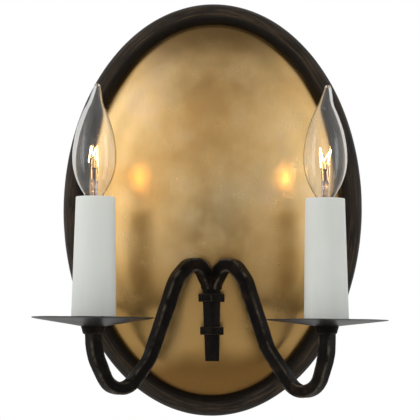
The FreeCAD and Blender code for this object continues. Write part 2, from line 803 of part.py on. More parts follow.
def build_arm(name, side):
    """Square tube swept along the arm's route in the arm's own plane."""
    body = new_body(name + "_bar")
    corners, radii = arm_route(name)
    route = route_sketch(body, corners, radii)
    pipe(body, "AdditivePipe", arm_section(body, S.arm_bar / 2), route)
    pipe(body, "SubtractivePipe", arm_section(body, S.arm_bar / 2 - S.arm_wall), route)
    mitre(body, side)
    turn_with_arm(body, side)
    socket = primitive("Cylinder", name + "_arm_socket",
                       (side * candle_x, candle_y, -S.cup_base - S.tube_sunk), None,
                       Radius=S.tube_radius, Height=S.tube_sunk * 2)
    return node(name + "_arm", boolean("Cut", name + "_arm", body, socket))


# ---------------------------------------------------------------- cup, pan and lamp holder

pan_base = -S.cup_base + S.cup_height
pan_top = pan_base + S.pan_gauge
pan_slope = S.pan_dish / (S.pan_radius - S.cup_top_radius)
tube_hole = S.tube_radius + S.screw_fit
sleeve_base = pan_top + pan_slope * (S.sleeve_base_radius - S.cup_top_radius) + S.sleeve_rest
sleeve_taper = (S.sleeve_base_radius - S.sleeve_top_radius) / (S.sleeve_top - sleeve_base)
seat_radius = S.sleeve_base_radius - S.sleeve_wall - S.seat_fit - sleeve_taper * S.seat_height
seat_rise = pan_top + pan_slope * (seat_radius - S.cup_top_radius)
bracket_base = seat_rise + S.seat_gauge
bracket_top = bracket_base + S.bracket_gauge


def build_cup(name, x):
    """Tapered cup between the arm's end and the pan."""
    base = -S.cup_base
    return node(name + "_cup", turned(name + "_cup", [
        (tube_hole, base), (S.cup_base_radius - S.cup_bevel, base), (S.cup_base_radius, base + S.cup_bevel),
        (S.cup_top_radius, pan_base), (tube_hole, pan_base)], x, candle_y))


def build_pan(name, x):
    """Shallow dished drip pan of sheet steel with a flat centre."""
    edge = S.pan_radius
    return node(name + "_pan", turned(name + "_pan", [
        (tube_hole, pan_base), (S.cup_top_radius, pan_base), (edge, pan_base + S.pan_dish),
        (edge, pan_top + S.pan_dish), (S.cup_top_radius, pan_top), (tube_hole, pan_top)], x, candle_y))


def build_sleeve_seat(name, x):
    """Pressed ring on the pan that centres the sleeve."""
    top = seat_rise + S.seat_height
    return node(name + "_sleeve_seat", turned(name + "_sleeve_seat", [
        (tube_hole, pan_top), (S.cup_top_radius, pan_top), (seat_radius, seat_rise), (seat_radius, top),
        (seat_radius - S.seat_wall, top), (seat_radius - S.seat_wall, bracket_base),
        (tube_hole, bracket_base)], x, candle_y))


def build_arm_nipple(name, x):
    """Threaded tube that clamps cup, pan, seat and bracket to the arm's end."""
    low = -S.cup_base - S.tube_sunk
    high = bracket_top + S.lock_nut_height + S.tube_proud
    return node(name + "_arm_nipple", turned(name + "_arm_nipple", [
        (S.tube_bore, low), (S.tube_radius, low), (S.tube_radius, high), (S.tube_bore, high)], x, candle_y))


def build_lock_nut(name, x):
    body = new_body(name + "_nut_block")
    outline(new_sketch(body, "XY_Plane", bracket_top), polygon(S.lock_nut_flats))
    feature(body, "Pad", body.Group[0], Length=S.lock_nut_height)
    place(body, x, candle_y)
    drill = primitive("Cylinder", name + "_nut_drill", (x, candle_y, bracket_base), None,
                      Radius=tube_hole, Height=S.lock_nut_height * 3)
    return node(name + "_lock_nut", boolean("Cut", name + "_lock_nut", body, drill))


def build_socket_bracket(name, x):
    """Bent strip: a tab under the lock nut and an upright on the back of the lamp holder."""
    body = new_body(name + "_bracket_strip")
    front = -S.bracket_tab
    back = S.holder_radius + S.bracket_gauge
    top = S.bracket_lap - S.holder_bottom
    steps = [(front, bracket_base), (back, bracket_base), (back, top), (S.holder_radius, top),
             (S.holder_radius, bracket_top), (front, bracket_top)]
    sketch = outline(new_sketch(body, "YZ_Plane"), steps)
    feature(body, "Pad", sketch, Length=S.bracket_width, Midplane=True)
    place(body, x, candle_y)
    drill = primitive("Cylinder", name + "_bracket_drill", (x, candle_y, pan_top), None,
                      Radius=tube_hole, Height=S.bracket_gauge * 3)
    holed = boolean("Cut", name + "_bracket_holed", body, drill)
    room = primitive("Cylinder", name + "_bracket_room", (x, candle_y, -S.holder_bottom), None,
                     Radius=S.holder_radius, Height=S.holder_bottom)
    return node(name + "_socket_bracket", boolean("Cut", name + "_socket_bracket", holed, room))


tip_low = -S.cap_base - S.insulator_height - S.tip_height
contact_top = tip_low - S.contact_gap
contact_base = contact_top - S.contact_gauge


def build_socket_body(name, x):
    """Moulded holder body with a blind bore for the screw shell."""
    return node(name + "_socket_body", turned(name + "_socket_body", [
        (0, -S.holder_bottom), (S.holder_radius, -S.holder_bottom), (S.holder_radius, -S.holder_top),
        (S.holder_bore, -S.holder_top), (S.holder_bore, contact_base), (0, contact_base)], x, candle_y))


def build_socket_shell(name, x):
    """Screw shell inside the holder, drawn as a plain tube at the thread's crest."""
    high = -S.holder_top
    low = high - S.shell_length
    inside = S.shell_radius - S.shell_wall
    return node(name + "_socket_shell", turned(name + "_socket_shell", [
        (inside, low), (S.holder_bore, low), (S.holder_bore, high), (inside, high)], x, candle_y))


def build_centre_contact(name, x):
    return node(name + "_centre_contact", turned(name + "_centre_contact", [
        (0, contact_base), (S.contact_radius, contact_base), (S.contact_radius, contact_top),
        (0, contact_top)], x, candle_y))


def build_candle_sleeve(name, x):
    """Tapered candle sleeve, open at both ends, standing on the pan."""
    base, top = S.sleeve_base_radius, S.sleeve_top_radius
    return node(name + "_candle_sleeve", turned(name + "_candle_sleeve", [
        (base - S.sleeve_wall, sleeve_base), (base, sleeve_base), (top, S.sleeve_top),
        (top - S.sleeve_wall, S.sleeve_top)], x, candle_y))


# ---------------------------------------------------------------- lamp

cap_flare = S.cap_top_radius - S.cap_radius - S.cap_shoulder
glass_base = cap_flare + S.cap_wall
glass_neck = S.cap_top_radius - S.cap_wall - S.glass_fit


def build_bulb_cap(name, x):
    """Brass screw cap with a flared top that holds the glass."""
    wall = S.cap_wall
    narrow, wide = S.cap_radius, S.cap_top_radius
    return node(name + "_bulb_cap", turned(name + "_bulb_cap", [
        (narrow - wall, -S.cap_base), (narrow, -S.cap_base), (narrow, -S.cap_shoulder), (wide, cap_flare),
        (wide, -S.cap_top), (wide - wall, -S.cap_top), (wide - wall, glass_base),
        (narrow - wall, wall - S.cap_shoulder)], x, candle_y))


def build_cap_insulator(name, x):
    low = -S.cap_base - S.insulator_height
    return node(name + "_cap_insulator", turned(name + "_cap_insulator", [
        (0, low), (S.tip_radius, low), (S.cap_radius, -S.cap_base), (0, -S.cap_base)], x, candle_y))


def build_tip_contact(name, x):
    high = -S.cap_base - S.insulator_height
    return node(name + "_tip_contact", turned(name + "_tip_contact", [
        (0, tip_low), (S.tip_point_radius, tip_low), (S.tip_radius, high), (0, high)], x, candle_y))


# Sections of the glass tip, as shares of its rise, its radius and its sideways lean.
TIP_STATIONS = ((0.45, 0.66, 0.35), (0.8, 0.36, 0.8), (1.0, 0.12, 1.0))


def build_bulb_glass(name, x):
    """Flame-shaped envelope of thin glass with a bent tip."""
    wall = S.glass_wall
    body = new_body(name + "_glass")
    steps = [
        (glass_neck - wall, glass_base), (glass_neck, glass_base), (glass_neck, 0),
        (S.flare_radius, S.flare_height, S.flare_curve, -1),
        (S.belly_radius, S.belly_height, S.lower_belly_curve, 1),
        (S.shoulder_glass_radius, S.shoulder_glass_height, S.upper_belly_curve, 1),
        (S.flame_radius, S.flame_height), (0, S.flame_height), (0, S.flame_height - wall * 2),
        (S.flame_radius - wall, S.flame_height - wall * 2),
        (S.shoulder_glass_radius - wall, S.shoulder_glass_height),
        (S.belly_radius - wall, S.belly_height, S.upper_belly_curve - wall, -1),
        (S.flare_radius - wall, S.flare_height + wall / 2, S.lower_belly_curve - wall, -1),
        (glass_neck - wall, wall, S.flare_curve + wall, 1)]
    sketch = outline(new_sketch(body, "XZ_Plane"), steps)
    feature(body, "Revolution", sketch, ReferenceAxis=(sketch, ["V_Axis"]), Angle=360.0)
    base = circle(new_sketch(body, "XY_Plane", S.flame_height), S.flame_radius)
    rise = S.flame_tip - S.flame_height
    stations = []
    for share, width, lean in TIP_STATIONS:
        stations.append(circle(new_sketch(body, "XY_Plane", S.flame_height + rise * share),
                               S.flame_radius * width, S.flame_lean * lean))
    feature(body, "AdditiveLoft", base, Sections=stations, Ruled=True)
    return node(name + "_bulb_glass", place(body, x, candle_y))


def build_glass_mount(name, x):
    """Glass foot inside the neck that carries the wires."""
    foot, stalk = S.mount_foot_radius, S.mount_radius
    return node(name + "_glass_mount", turned(name + "_glass_mount", [
        (0, glass_base), (glass_neck - S.glass_wall, glass_base), (foot, glass_base + stalk),
        (stalk, S.flare_height), (stalk, S.mount_height), (0, S.mount_height)], x, candle_y))


def rod(start, end, radius):
    way = end - start
    return Part.makeCylinder(radius, way.Length, start, way)


def filament_plane(turn):
    """Unit vectors along and square to the filament's plane, both level."""
    angle = math.radians(turn.value)
    return V(math.cos(angle), math.sin(angle), 0), V(-math.sin(angle), math.cos(angle), 0)


def wire_points(across):
    """Filament corners in the lamp's own frame: a W hung from two outer wires and one in the middle."""
    wide = S.filament_half_width.value
    low, mid, high = S.filament_low.value, S.filament_mid.value, S.filament_high.value
    return [across * (share * wide) + V(0, 0, height)
            for share, height in ((-1, high), (-0.5, low), (0, mid), (0.5, low), (1, high))]


def lamp_feature(label, x, shape):
    """A shape in the lamp's own frame, stood on the candle axis."""
    thing = doc.addObject("Part::Feature", label)
    thing.Shape = shape
    return node(label, place(thing, x, candle_y))


def build_filament(name, x):
    """Thin wire through the W's corners."""
    across, _ = filament_plane(getattr(S, name + "_filament_turn"))
    points = wire_points(across)
    radius = S.filament_radius.value
    shape = rod(points[0], points[1], radius)
    for start, end in zip(points[1:], points[2:]):
        shape = shape.fuse(rod(start, end, radius))
    return lamp_feature(name + "_filament", x, shape)


def build_support_wires(name, x):
    """Three wires from the glass foot: two beside the filament's ends and one behind its middle."""
    across, square = filament_plane(getattr(S, name + "_filament_turn"))
    points = wire_points(across)
    radius = S.wire_radius.value
    reach = radius + S.filament_radius.value + S.wire_gap.value
    foot = V(0, 0, S.mount_height.value + S.wire_gap.value)
    spread = S.wire_spread.value
    wires = [rod(foot - across * spread, points[0] - across * reach, radius),
             rod(foot + square * reach, points[2] + square * reach, radius),
             rod(foot + across * spread, points[4] + across * reach, radius)]
    return lamp_feature(name + "_support_wires", x, Part.makeCompound(wires))


# ---------------------------------------------------------------- build

drill = grub_holes()
build_rim()
build_rim_band(drill)
build_brass_plate()
build_plate_clips()
build_wall_strap(drill)
build_ground_screw()
build_rim_set_screws()
build_spine_bar()
build_stem()
build_collar("upper_collar", S.upper_collar_corner, S.upper_collar_place)
build_collar("lower_collar", S.lower_collar_corner, S.lower_collar_place)
build_stem_nipple()
build_spacers()
build_washer_and_nut()
for name, side in (("left", -1), ("right", 1)):
    x = side * candle_x
    build_arm(name, side)
    build_cup(name, x)
    build_pan(name, x)
    build_sleeve_seat(name, x)
    build_arm_nipple(name, x)
    build_lock_nut(name, x)
    build_socket_bracket(name, x)
    build_socket_body(name, x)
    build_socket_shell(name, x)
    build_centre_contact(name, x)
    build_candle_sleeve(name, x)
    build_bulb_cap(name, x)
    build_cap_insulator(name, x)
    build_tip_contact(name, x)
    build_bulb_glass(name, x)
    build_glass_mount(name, x)
    build_filament(name, x)
    build_support_wires(name, x)

doc.recompute()
failed = [thing.Name for thing in doc.Objects if "Invalid" in thing.State or "Error" in thing.State]
if failed:
    raise RuntimeError("failed features: " + ", ".join(failed))
for label, thing in nodes.items():
    if thing.Shape.isNull() or not thing.Shape.isValid():
        raise RuntimeError("bad shape: " + label)

os.makedirs("parts", exist_ok=True)
for label, thing in nodes.items():
    thing.Shape.exportStep("parts/" + label + ".step")
    box = thing.Shape.BoundBox
    print(label, len(thing.Shape.Solids), round(thing.Shape.Volume, 1),
          [round(number, 1) for number in (box.XMin, box.YMin, box.ZMin, box.XMax, box.YMax, box.ZMax)])
print("nodes", len(nodes))
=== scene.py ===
import math

import bmesh
import bpy
from mathutils import Matrix, Vector, noise


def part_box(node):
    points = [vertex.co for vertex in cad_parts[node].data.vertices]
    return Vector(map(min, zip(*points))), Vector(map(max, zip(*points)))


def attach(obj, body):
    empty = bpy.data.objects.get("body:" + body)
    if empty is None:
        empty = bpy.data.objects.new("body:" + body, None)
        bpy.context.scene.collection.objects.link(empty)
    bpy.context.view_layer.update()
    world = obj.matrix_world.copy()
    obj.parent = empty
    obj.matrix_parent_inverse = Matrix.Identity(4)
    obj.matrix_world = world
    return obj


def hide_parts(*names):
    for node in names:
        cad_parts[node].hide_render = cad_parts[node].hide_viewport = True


# Double arm wall sconce: oval brass plate in a half-round iron rim, two forged arms with candle lamps.
# The wall is the plane y = 0, the room is on the -Y side and Z is up. Lengths are in metres.

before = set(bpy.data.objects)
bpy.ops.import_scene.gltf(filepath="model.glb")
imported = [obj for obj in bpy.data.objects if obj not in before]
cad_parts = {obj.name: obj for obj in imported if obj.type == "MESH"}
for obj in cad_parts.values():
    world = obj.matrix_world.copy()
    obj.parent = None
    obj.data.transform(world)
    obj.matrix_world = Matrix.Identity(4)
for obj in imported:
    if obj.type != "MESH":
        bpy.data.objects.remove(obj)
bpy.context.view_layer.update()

MM = 0.001
SIDES = {"left": -1, "right": 1}


# ---- places read from the frame

def centre_of(node):
    """Middle of a node's box."""
    lo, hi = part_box(node)
    return (lo + hi) / 2


def upright_axis(node):
    """Foot of the vertical axis through the middle of a node's box, at height 0."""
    lo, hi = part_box(node)
    return Vector(((lo.x + hi.x) / 2, (lo.y + hi.y) / 2, 0.0))


rim_lo, rim_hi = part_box("rim")
plate_lo, plate_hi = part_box("brass_plate")
stem_axis = centre_of("stem")
candle = centre_of("right_candle_sleeve")
cup_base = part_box("right_cup")[0].z

RIM_BACK = rim_hi.y                        # plane of the half-round's flat
RIM_RADIUS = rim_hi.y - rim_lo.y
HALF_WIDTH = rim_hi.x
HALF_HEIGHT = rim_hi.z


# ---- mesh helpers

def clamp(share):
    """A share held between 0 and 1."""
    return max(0.0, min(1.0, share))


def ease(share):
    """A share from 0 to 1, held at both ends and eased between them."""
    share = clamp(share)
    return share * share * (3 - 2 * share)


def turns(steps):
    """The angles of even steps round a full turn."""
    return [2 * math.pi * step / steps for step in range(steps)]


def piece(name, mesh, finish, crisp, body="root", replaces=()):
    """A mesh as an object that has a finish, rides on a body and stands for some frame nodes.

    It is shaded smooth, and its edges sharper than crisp, in degrees, stay crisp.
    """
    for face in mesh.polygons:
        face.use_smooth = True
    mesh.set_sharp_from_angle(angle=math.radians(crisp))
    made = bpy.data.objects.new(name, mesh)
    bpy.context.scene.collection.objects.link(made)
    mesh.materials.clear()
    mesh.materials.append(FINISH[finish])
    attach(made, body)
    if replaces:
        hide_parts(*replaces)


def mesh_from(name, build):
    """A mesh made by a function that fills a bmesh."""
    bm = bmesh.new()
    build(bm)
    bmesh.ops.remove_doubles(bm, verts=bm.verts, dist=1e-7)
    bmesh.ops.recalc_face_normals(bm, faces=bm.faces)
    mesh = bpy.data.meshes.new(name)
    bm.to_mesh(mesh)
    bm.free()
    return mesh


def bridge(bm, first, second):
    """Faces between two rings of vertices, either of which may be one vertex on the axis."""
    steps = max(len(first), len(second))
    for step in range(steps):
        after = (step + 1) % steps
        corners = [first[step % len(first)], first[after % len(first)],
                   second[after % len(second)], second[step % len(second)]]
        corners = list(dict.fromkeys(corners))
        if len(corners) > 2:
            bm.faces.new(corners)


def lathe(name, profile, axis, steps, shift=None):
    """A closed profile of (radius, height) turned about a vertical axis.

    Where given, shift says how far the ring at a height stands to the side.
    """
    def build(bm):
        rings = []
        for radius, height in profile:
            x = axis.x + (shift(height) if shift else 0.0)
            if radius < 1e-7:
                rings.append([bm.verts.new((x, axis.y, height))])
            else:
                rings.append([bm.verts.new((x + radius * math.cos(angle),
                                            axis.y + radius * math.sin(angle), height))
                              for angle in turns(steps)])
        for first, second in zip(rings, rings[1:] + rings[:1]):
            bridge(bm, first, second)
    return mesh_from(name, build)


EDGE_ANGLE = math.radians(30)              # frame nodes' edges sharper than this are rounded over
FLAT_ANGLE = math.radians(1)               # neighbours flatter than this count as one face


def softened(node, width, segments=2, rubbed=1.0):
    """A copy of a frame node's mesh with its sharp edges rounded over and marked, for edges rubbed bare
    and a painted edge highlight.
    """
    bm = bmesh.new()
    bm.from_mesh(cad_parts[node].data)
    worn_edge_highlight = bm.faces.layers.float.new("worn_edge_highlight")
    bmesh.ops.remove_doubles(bm, verts=bm.verts, dist=2e-6)
    bmesh.ops.dissolve_limit(bm, angle_limit=FLAT_ANGLE, verts=bm.verts, edges=bm.edges)
    edges = [edge for edge in bm.edges
             if len(edge.link_faces) == 2 and edge.calc_face_angle() > EDGE_ANGLE]
    made = bmesh.ops.bevel(bm, geom=edges, offset=width, segments=segments, profile=0.5, affect="EDGES",
                           clamp_overlap=True)
    # The rounded faces carry the mark that the iron paints as bare metal and as an edge highlight.
    for face in made["faces"]:
        face[worn_edge_highlight] = rubbed
    bmesh.ops.triangulate(bm, faces=[face for face in bm.faces if len(face.verts) > 4])
    mesh = bpy.data.meshes.new(node + "_soft")
    bm.to_mesh(mesh)
    bm.free()
    return mesh


# ---- node trees

class Nodes:
    """A node tree that is filled by code, with its inputs set or linked by name."""

    def __init__(self, tree):
        self.tree = tree

    def feed(self, node, name, value):
        """Sets or links one input. A colour may come without its alpha."""
        socket = node.inputs[name]
        if isinstance(value, bpy.types.NodeSocket):
            self.tree.links.new(value, socket)
        elif socket.type == "RGBA" and len(value) == 3:
            socket.default_value = (*value, 1.0)
        else:
            socket.default_value = value

    def add(self, kind, inputs=None, **settings):
        """A new node with its inputs fed and its own properties set."""
        node = self.tree.nodes.new(kind)
        for name, setting in settings.items():
            setattr(node, name, setting)
        for name, value in (inputs or {}).items():
            self.feed(node, name, value)
        return node

    def out(self, kind, inputs=None, **settings):
        """The first output of a new node."""
        return self.add(kind, inputs, **settings).outputs[0]

    def maths(self, operation, *values):
        return self.out("ShaderNodeMath", dict(enumerate(values)), operation=operation)

    def fade(self, value, low, high, to_low=0.0, to_high=1.0):
        """Maps a value from one range to another, held at both ends and eased between them."""
        return self.out("ShaderNodeMapRange", {
            "Value": value, "From Min": low, "From Max": high, "To Min": to_low, "To Max": to_high},
            interpolation_type="SMOOTHSTEP")

    def length(self, first, second):
        """Length of a flat vector from its two parts."""
        squares = [self.maths("MULTIPLY", part, part) for part in (first, second)]
        return self.maths("SQRT", self.maths("ADD", *squares))


class Tree(Nodes):
    """A geometry tree whose named inputs are sizes."""

    def __init__(self, name, **sizes):
        super().__init__(bpy.data.node_groups.new(name, "GeometryNodeTree"))
        face = self.tree.interface
        face.new_socket("Geometry", in_out="INPUT", socket_type="NodeSocketGeometry")
        face.new_socket("Geometry", in_out="OUTPUT", socket_type="NodeSocketGeometry")
        for label, size in sizes.items():
            socket = face.new_socket(label, in_out="INPUT", socket_type="NodeSocketFloat")
            socket.default_value = size
        self.inputs = self.add("NodeGroupInput").outputs

    def scaled(self, vector, scale):
        return self.out("ShaderNodeVectorMath", {0: vector, "Scale": scale}, operation="SCALE")

    def keep(self, geometry, name, value):
        """Stores a number on each point under a name."""
        return self.out("GeometryNodeStoreNamedAttribute",
                        {"Geometry": geometry, "Name": name, "Value": value},
                        data_type="FLOAT", domain="POINT")

    def rounded(self, curve, radius, steps):
        """A poly curve with its corners rounded."""
        return self.out("GeometryNodeFilletCurve", {"Curve": curve, "Radius": radius, "Count": steps},
                        mode="POLY")

    def untilted(self, curve):
        return self.out("GeometryNodeSetCurveTilt", {"Curve": curve, "Tilt": 0.0})

    def even(self, curve):
        """The curve with the same radius all along it."""
        return self.out("GeometryNodeSetCurveRadius", {"Curve": curve, "Radius": 1.0})

    def stepped(self, curve, length):
        """The curve in even steps of a length."""
        return self.out("GeometryNodeResampleCurve", {"Curve": curve, "Length": length},
                        mode="LENGTH")

    def round_wire(self, curve, radius, steps):
        """A capped round wire along a curve."""
        profile = self.out("GeometryNodeCurvePrimitiveCircle", {"Resolution": steps, "Radius": radius})
        return self.out("GeometryNodeCurveToMesh", {"Curve": curve, "Profile Curve": profile,
                                                    "Fill Caps": True})

    def jitter(self, geometry, depth, size, seed):
        """Moves the surface along its normal by noise."""
        pattern = self.out("ShaderNodeTexNoise", {"Scale": self.maths("DIVIDE", 1.0, size), "Detail": 3.0,
                                                  "W": seed}, noise_dimensions="4D")
        swing = self.maths("MULTIPLY", self.maths("SUBTRACT", pattern, 0.5), depth)
        offset = self.scaled(self.out("GeometryNodeInputNormal"), swing)
        return self.out("GeometryNodeSetPosition", {"Geometry": geometry, "Offset": offset})

    def finish(self, geometry, material):
        real = self.out("GeometryNodeRealizeInstances", {"Geometry": geometry})
        dressed = self.out("GeometryNodeSetMaterial", {"Geometry": real, "Material": material})
        self.add("NodeGroupOutput", {"Geometry": dressed})

    def run(self, name, base, **sizes):
        """Applies the tree to an object's data and gives the result as a plain mesh."""
        carrier = bpy.data.objects.new(name + "_carrier", base)
        bpy.context.scene.collection.objects.link(carrier)
        modifier = carrier.modifiers.new("shape", "NODES")
        modifier.node_group = self.tree
        for item in self.tree.interface.items_tree:
            if item.in_out == "INPUT" and item.name in sizes:
                modifier[item.identifier] = sizes[item.name]
        bpy.context.view_layer.update()
        graph = bpy.context.evaluated_depsgraph_get()
        mesh = bpy.data.meshes.new_from_object(carrier.evaluated_get(graph))
        carrier.modifiers.clear()
        bpy.data.objects.remove(carrier)
        mesh.name = name
        return mesh


def polyline(name, corners):
    """A poly curve through (point, radius, width).

    The radius is the one that rounds the corner, and the curve's tilt carries the width.
    """
    curve = bpy.data.curves.new(name, "CURVE")
    curve.dimensions = "3D"
    spline = curve.splines.new("POLY")
    spline.points.add(len(corners) - 1)
    for point, (place, radius, width) in zip(spline.points, corners):
        point.co = (*place, 1.0)
        point.radius = radius
        point.tilt = width
    return curve


# ---- finishes

class Finish(Nodes):
    """A material's node tree. Patterns read Object coordinates, in metres."""

    def __init__(self, name, **shader):
        self.material = bpy.data.materials.new(name)
        self.material.use_nodes = True
        super().__init__(self.material.node_tree)
        self.tree.nodes.clear()
        self.shader = self.add("ShaderNodeBsdfPrincipled", shader)
        self.add("ShaderNodeOutputMaterial", {"Surface": self.shader.outputs[0]})
        self.point = self.add("ShaderNodeTexCoord").outputs["Object"]

    def set(self, **inputs):
        for name, value in inputs.items():
            self.feed(self.shader, name.replace("_", " "), value)

    def noise(self, scale, detail=3.0, roughness=0.5, distortion=0.0, point=None):
        """Cloudy pattern from 0 to 1. The scale is about how many clouds go to a metre."""
        return self.out("ShaderNodeTexNoise", {
            "Vector": point or self.point, "Scale": scale, "Detail": detail,
            "Roughness": roughness, "Distortion": distortion})

    def ramp(self, value, stops):
        ramp = self.add("ShaderNodeValToRGB", {"Fac": value})
        marks = ramp.color_ramp.elements
        while len(marks) < len(stops):
            marks.new(0.5)
        for mark, (place, colour) in zip(marks, stops):
            mark.position = place
            mark.color = (*colour, 1.0)
        return ramp.outputs[0]

    def mix(self, share, first, second):
        """Two colours mixed. Numbers pick the node's colour sockets, since others share their names."""
        node = self.add("ShaderNodeMix", {0: share, 6: first, 7: second}, data_type="RGBA")
        return node.outputs[2]

    def bump(self, height, distance, strength=1.0, under=None):
        links = {"Height": height, "Distance": distance, "Strength": strength}
        if under is not None:
            links["Normal"] = under
        return self.out("ShaderNodeBump", links)

    def stretched(self, x, y, z):
        """The point with each axis scaled, to draw a pattern out along one of them."""
        return self.out("ShaderNodeMapping", {"Vector": self.point, "Scale": (x, y, z)})

    def split(self):
        return self.add("ShaderNodeSeparateXYZ", {"Vector": self.point}).outputs

    def joined(self, x, y, z):
        return self.out("ShaderNodeCombineXYZ", {"X": x, "Y": y, "Z": z})


RUST = (0.060, 0.026, 0.012)
# Bare metal on rubbed edges, also a painted edge highlight.
BARE_EDGE_AND_HIGHLIGHT = (0.120, 0.098, 0.072)


def aged_iron(name, dark, light, rubbed_tone, streaks=None, gloss=0.05, rough=0.28):
    """Dark waxed iron, brown and grey where hands and tools rub it, with edges rubbed bare and painted
    lighter as an edge highlight. Streaks draw the rubbing out.
    """
    iron = Finish(name, **{"Specular IOR Level": gloss})
    along = streaks(iron) if streaks else iron.point
    rubbing, breaks = (1.0, 1.6) if streaks else (95.0, 120.0)
    broad = iron.noise(26.0, 3.0, 0.55)
    rubbed = iron.fade(iron.noise(rubbing, 5.0, 0.65, 0.2, along), 0.42, 0.76)
    rust = iron.fade(iron.noise(62.0, 4.0, 0.6, 0.3), 0.58, 0.74)
    fine = iron.noise(620.0, 3.0, 0.6)
    # Edges painted lighter: bare metal and a painted edge highlight.
    edge = iron.add("ShaderNodeAttribute", attribute_name="worn_edge_highlight").outputs["Fac"]
    broken = iron.noise(breaks, 4.0, 0.6, 0.0, along)
    bare_and_highlight = iron.maths("MULTIPLY", edge, iron.fade(broken, 0.34, 0.66))
    colour = iron.mix(iron.fade(broad, 0.35, 0.65), dark, light)
    colour = iron.mix(iron.maths("MULTIPLY", rust, 0.35), colour, RUST)
    colour = iron.mix(iron.maths("MULTIPLY", rubbed, 0.55), colour, rubbed_tone)
    colour = iron.mix(iron.maths("MULTIPLY", bare_and_highlight, 0.8), colour, BARE_EDGE_AND_HIGHLIGHT)
    dull = iron.fade(broad, 0.3, 0.7, rough, rough + 0.10)
    roughness = iron.maths("ADD", dull, iron.maths("MULTIPLY", fine, 0.08))
    normal = iron.bump(iron.noise(190.0, 4.0, 0.6), 0.0005, 0.35)
    normal = iron.bump(fine, 0.0001, 0.5, normal)
    iron.set(Base_Color=colour, Roughness=roughness, Normal=normal)
    return iron.material


def beyond_rim_line(finish, place):
    """How far a point lies outside the oval that the rim's bar is centred on, and its angle round it."""
    wide = finish.maths("DIVIDE", place["X"], HALF_WIDTH - RIM_RADIUS)
    high = finish.maths("DIVIDE", place["Z"], HALF_HEIGHT - RIM_RADIUS)
    # The least values only keep the oval's centre from a division by 0.
    share = finish.maths("MAXIMUM", finish.length(wide, high), 1e-4)
    away = finish.maths("MAXIMUM", finish.length(place["X"], place["Z"]), 1e-5)
    reach = finish.maths("DIVIDE", away, share)
    return finish.maths("SUBTRACT", away, reach), finish.maths("ARCTAN2", high, wide)


RIM_WAX = ((0.011, 0.0082, 0.0062), (0.023, 0.0172, 0.0128))
RIM_SPECK = (0.034, 0.025, 0.017)
RIM_RUBBED = (0.080, 0.054, 0.032)
# Painted grey sheen along the bar's outer edge, and painted shade down its inner slope.
RIM_PAINTED_SHEEN = (0.013, 0.0125, 0.0125)
RIM_PAINTED_SHADE = (0.0038, 0.0023, 0.0011)


def worn_rim_iron():
    """The rim's iron: waxed black, with painted shade down its inner slope and a painted grey sheen along
    its outer edge, rubbed brown in fine lines along its crest.
    """
    iron = Finish("rim_iron", **{"Specular IOR Level": 0.13})
    place = iron.split()
    beyond, turn = beyond_rim_line(iron, place)
    across = iron.maths("DIVIDE", beyond, RIM_RADIUS)      # -1 at the inner edge, 1 at the outer
    along = iron.joined(iron.maths("MULTIPLY", across, 5.0), iron.maths("MULTIPLY", place["Y"], 300.0),
                        iron.maths("MULTIPLY", turn, 4.5))
    broad = iron.noise(24.0, 3.0, 0.55)
    speck = iron.noise(260.0, 5.0, 0.7)
    fine = iron.noise(620.0, 3.0, 0.6)
    lines = iron.fade(iron.noise(1.0, 5.0, 0.7, 0.1, along), 0.42, 0.70)
    colour = iron.mix(iron.fade(broad, 0.35, 0.65), *RIM_WAX)
    colour = iron.mix(iron.fade(speck, 0.50, 0.72, 0.0, 0.45), colour, RIM_SPECK)
    colour = iron.mix(iron.maths("MULTIPLY", lines, 0.75), colour, RIM_RUBBED)
    # Painted sheen towards the outer edge, then painted shade down the inner slope.
    colour = iron.mix(iron.fade(across, 0.55, 0.95, 0.0, 0.6), colour, RIM_PAINTED_SHEEN)
    colour = iron.mix(iron.fade(across, -0.55, 0.0, 0.90, 0.0), colour, RIM_PAINTED_SHADE)
    dull = iron.fade(broad, 0.3, 0.7, 0.34, 0.44)
    roughness = iron.maths("ADD", dull, iron.maths("MULTIPLY", fine, 0.08))
    normal = iron.bump(iron.noise(190.0, 4.0, 0.6), 0.0004, 0.3)
    iron.set(Base_Color=colour, Roughness=roughness, Normal=iron.bump(lines, 0.0001, 0.4, normal))
    return iron.material


def round_the_candle(iron):
    """Coordinates that run out from the candles' axes, so that rubbing follows a pan's rings."""
    place = iron.split()
    across = iron.maths("SUBTRACT", iron.maths("ABSOLUTE", place["X"]), candle.x)
    depth = iron.maths("SUBTRACT", place["Y"], candle.y)
    turn = iron.maths("ARCTAN2", depth, across)
    return iron.joined(iron.maths("MULTIPLY", iron.length(across, depth), 500.0),
                       iron.maths("MULTIPLY", turn, 2.5), iron.maths("MULTIPLY", place["Z"], 200.0))


BRASS_CLOUDS = [(0.36, (0.74, 0.435, 0.155)), (0.46, (0.85, 0.54, 0.215)),
                (0.55, (0.92, 0.615, 0.27)), (0.66, (0.98, 0.69, 0.34))]
BRASS_OLIVE = (0.62, 0.49, 0.25)
BRASS_ROSE = (0.86, 0.58, 0.38)
BRASS_GRAIN = (0.40, 0.27, 0.12)
BRASS_SHADE_BELOW = (0.47, 0.275, 0.085)         # painted shade: warmer and darker towards the oval's foot
BRASS_PAINTED_SHADE = (0.18, 0.088, 0.023)         # painted reflection of the rim and painted shade: brown by the rim and at the oval's two ends
RIM_REFLECTION_STARTS, RIM_REFLECTION_FULL = 6.0 * MM, 1.0 * MM    # the painted rim reflection's reach in from the rim
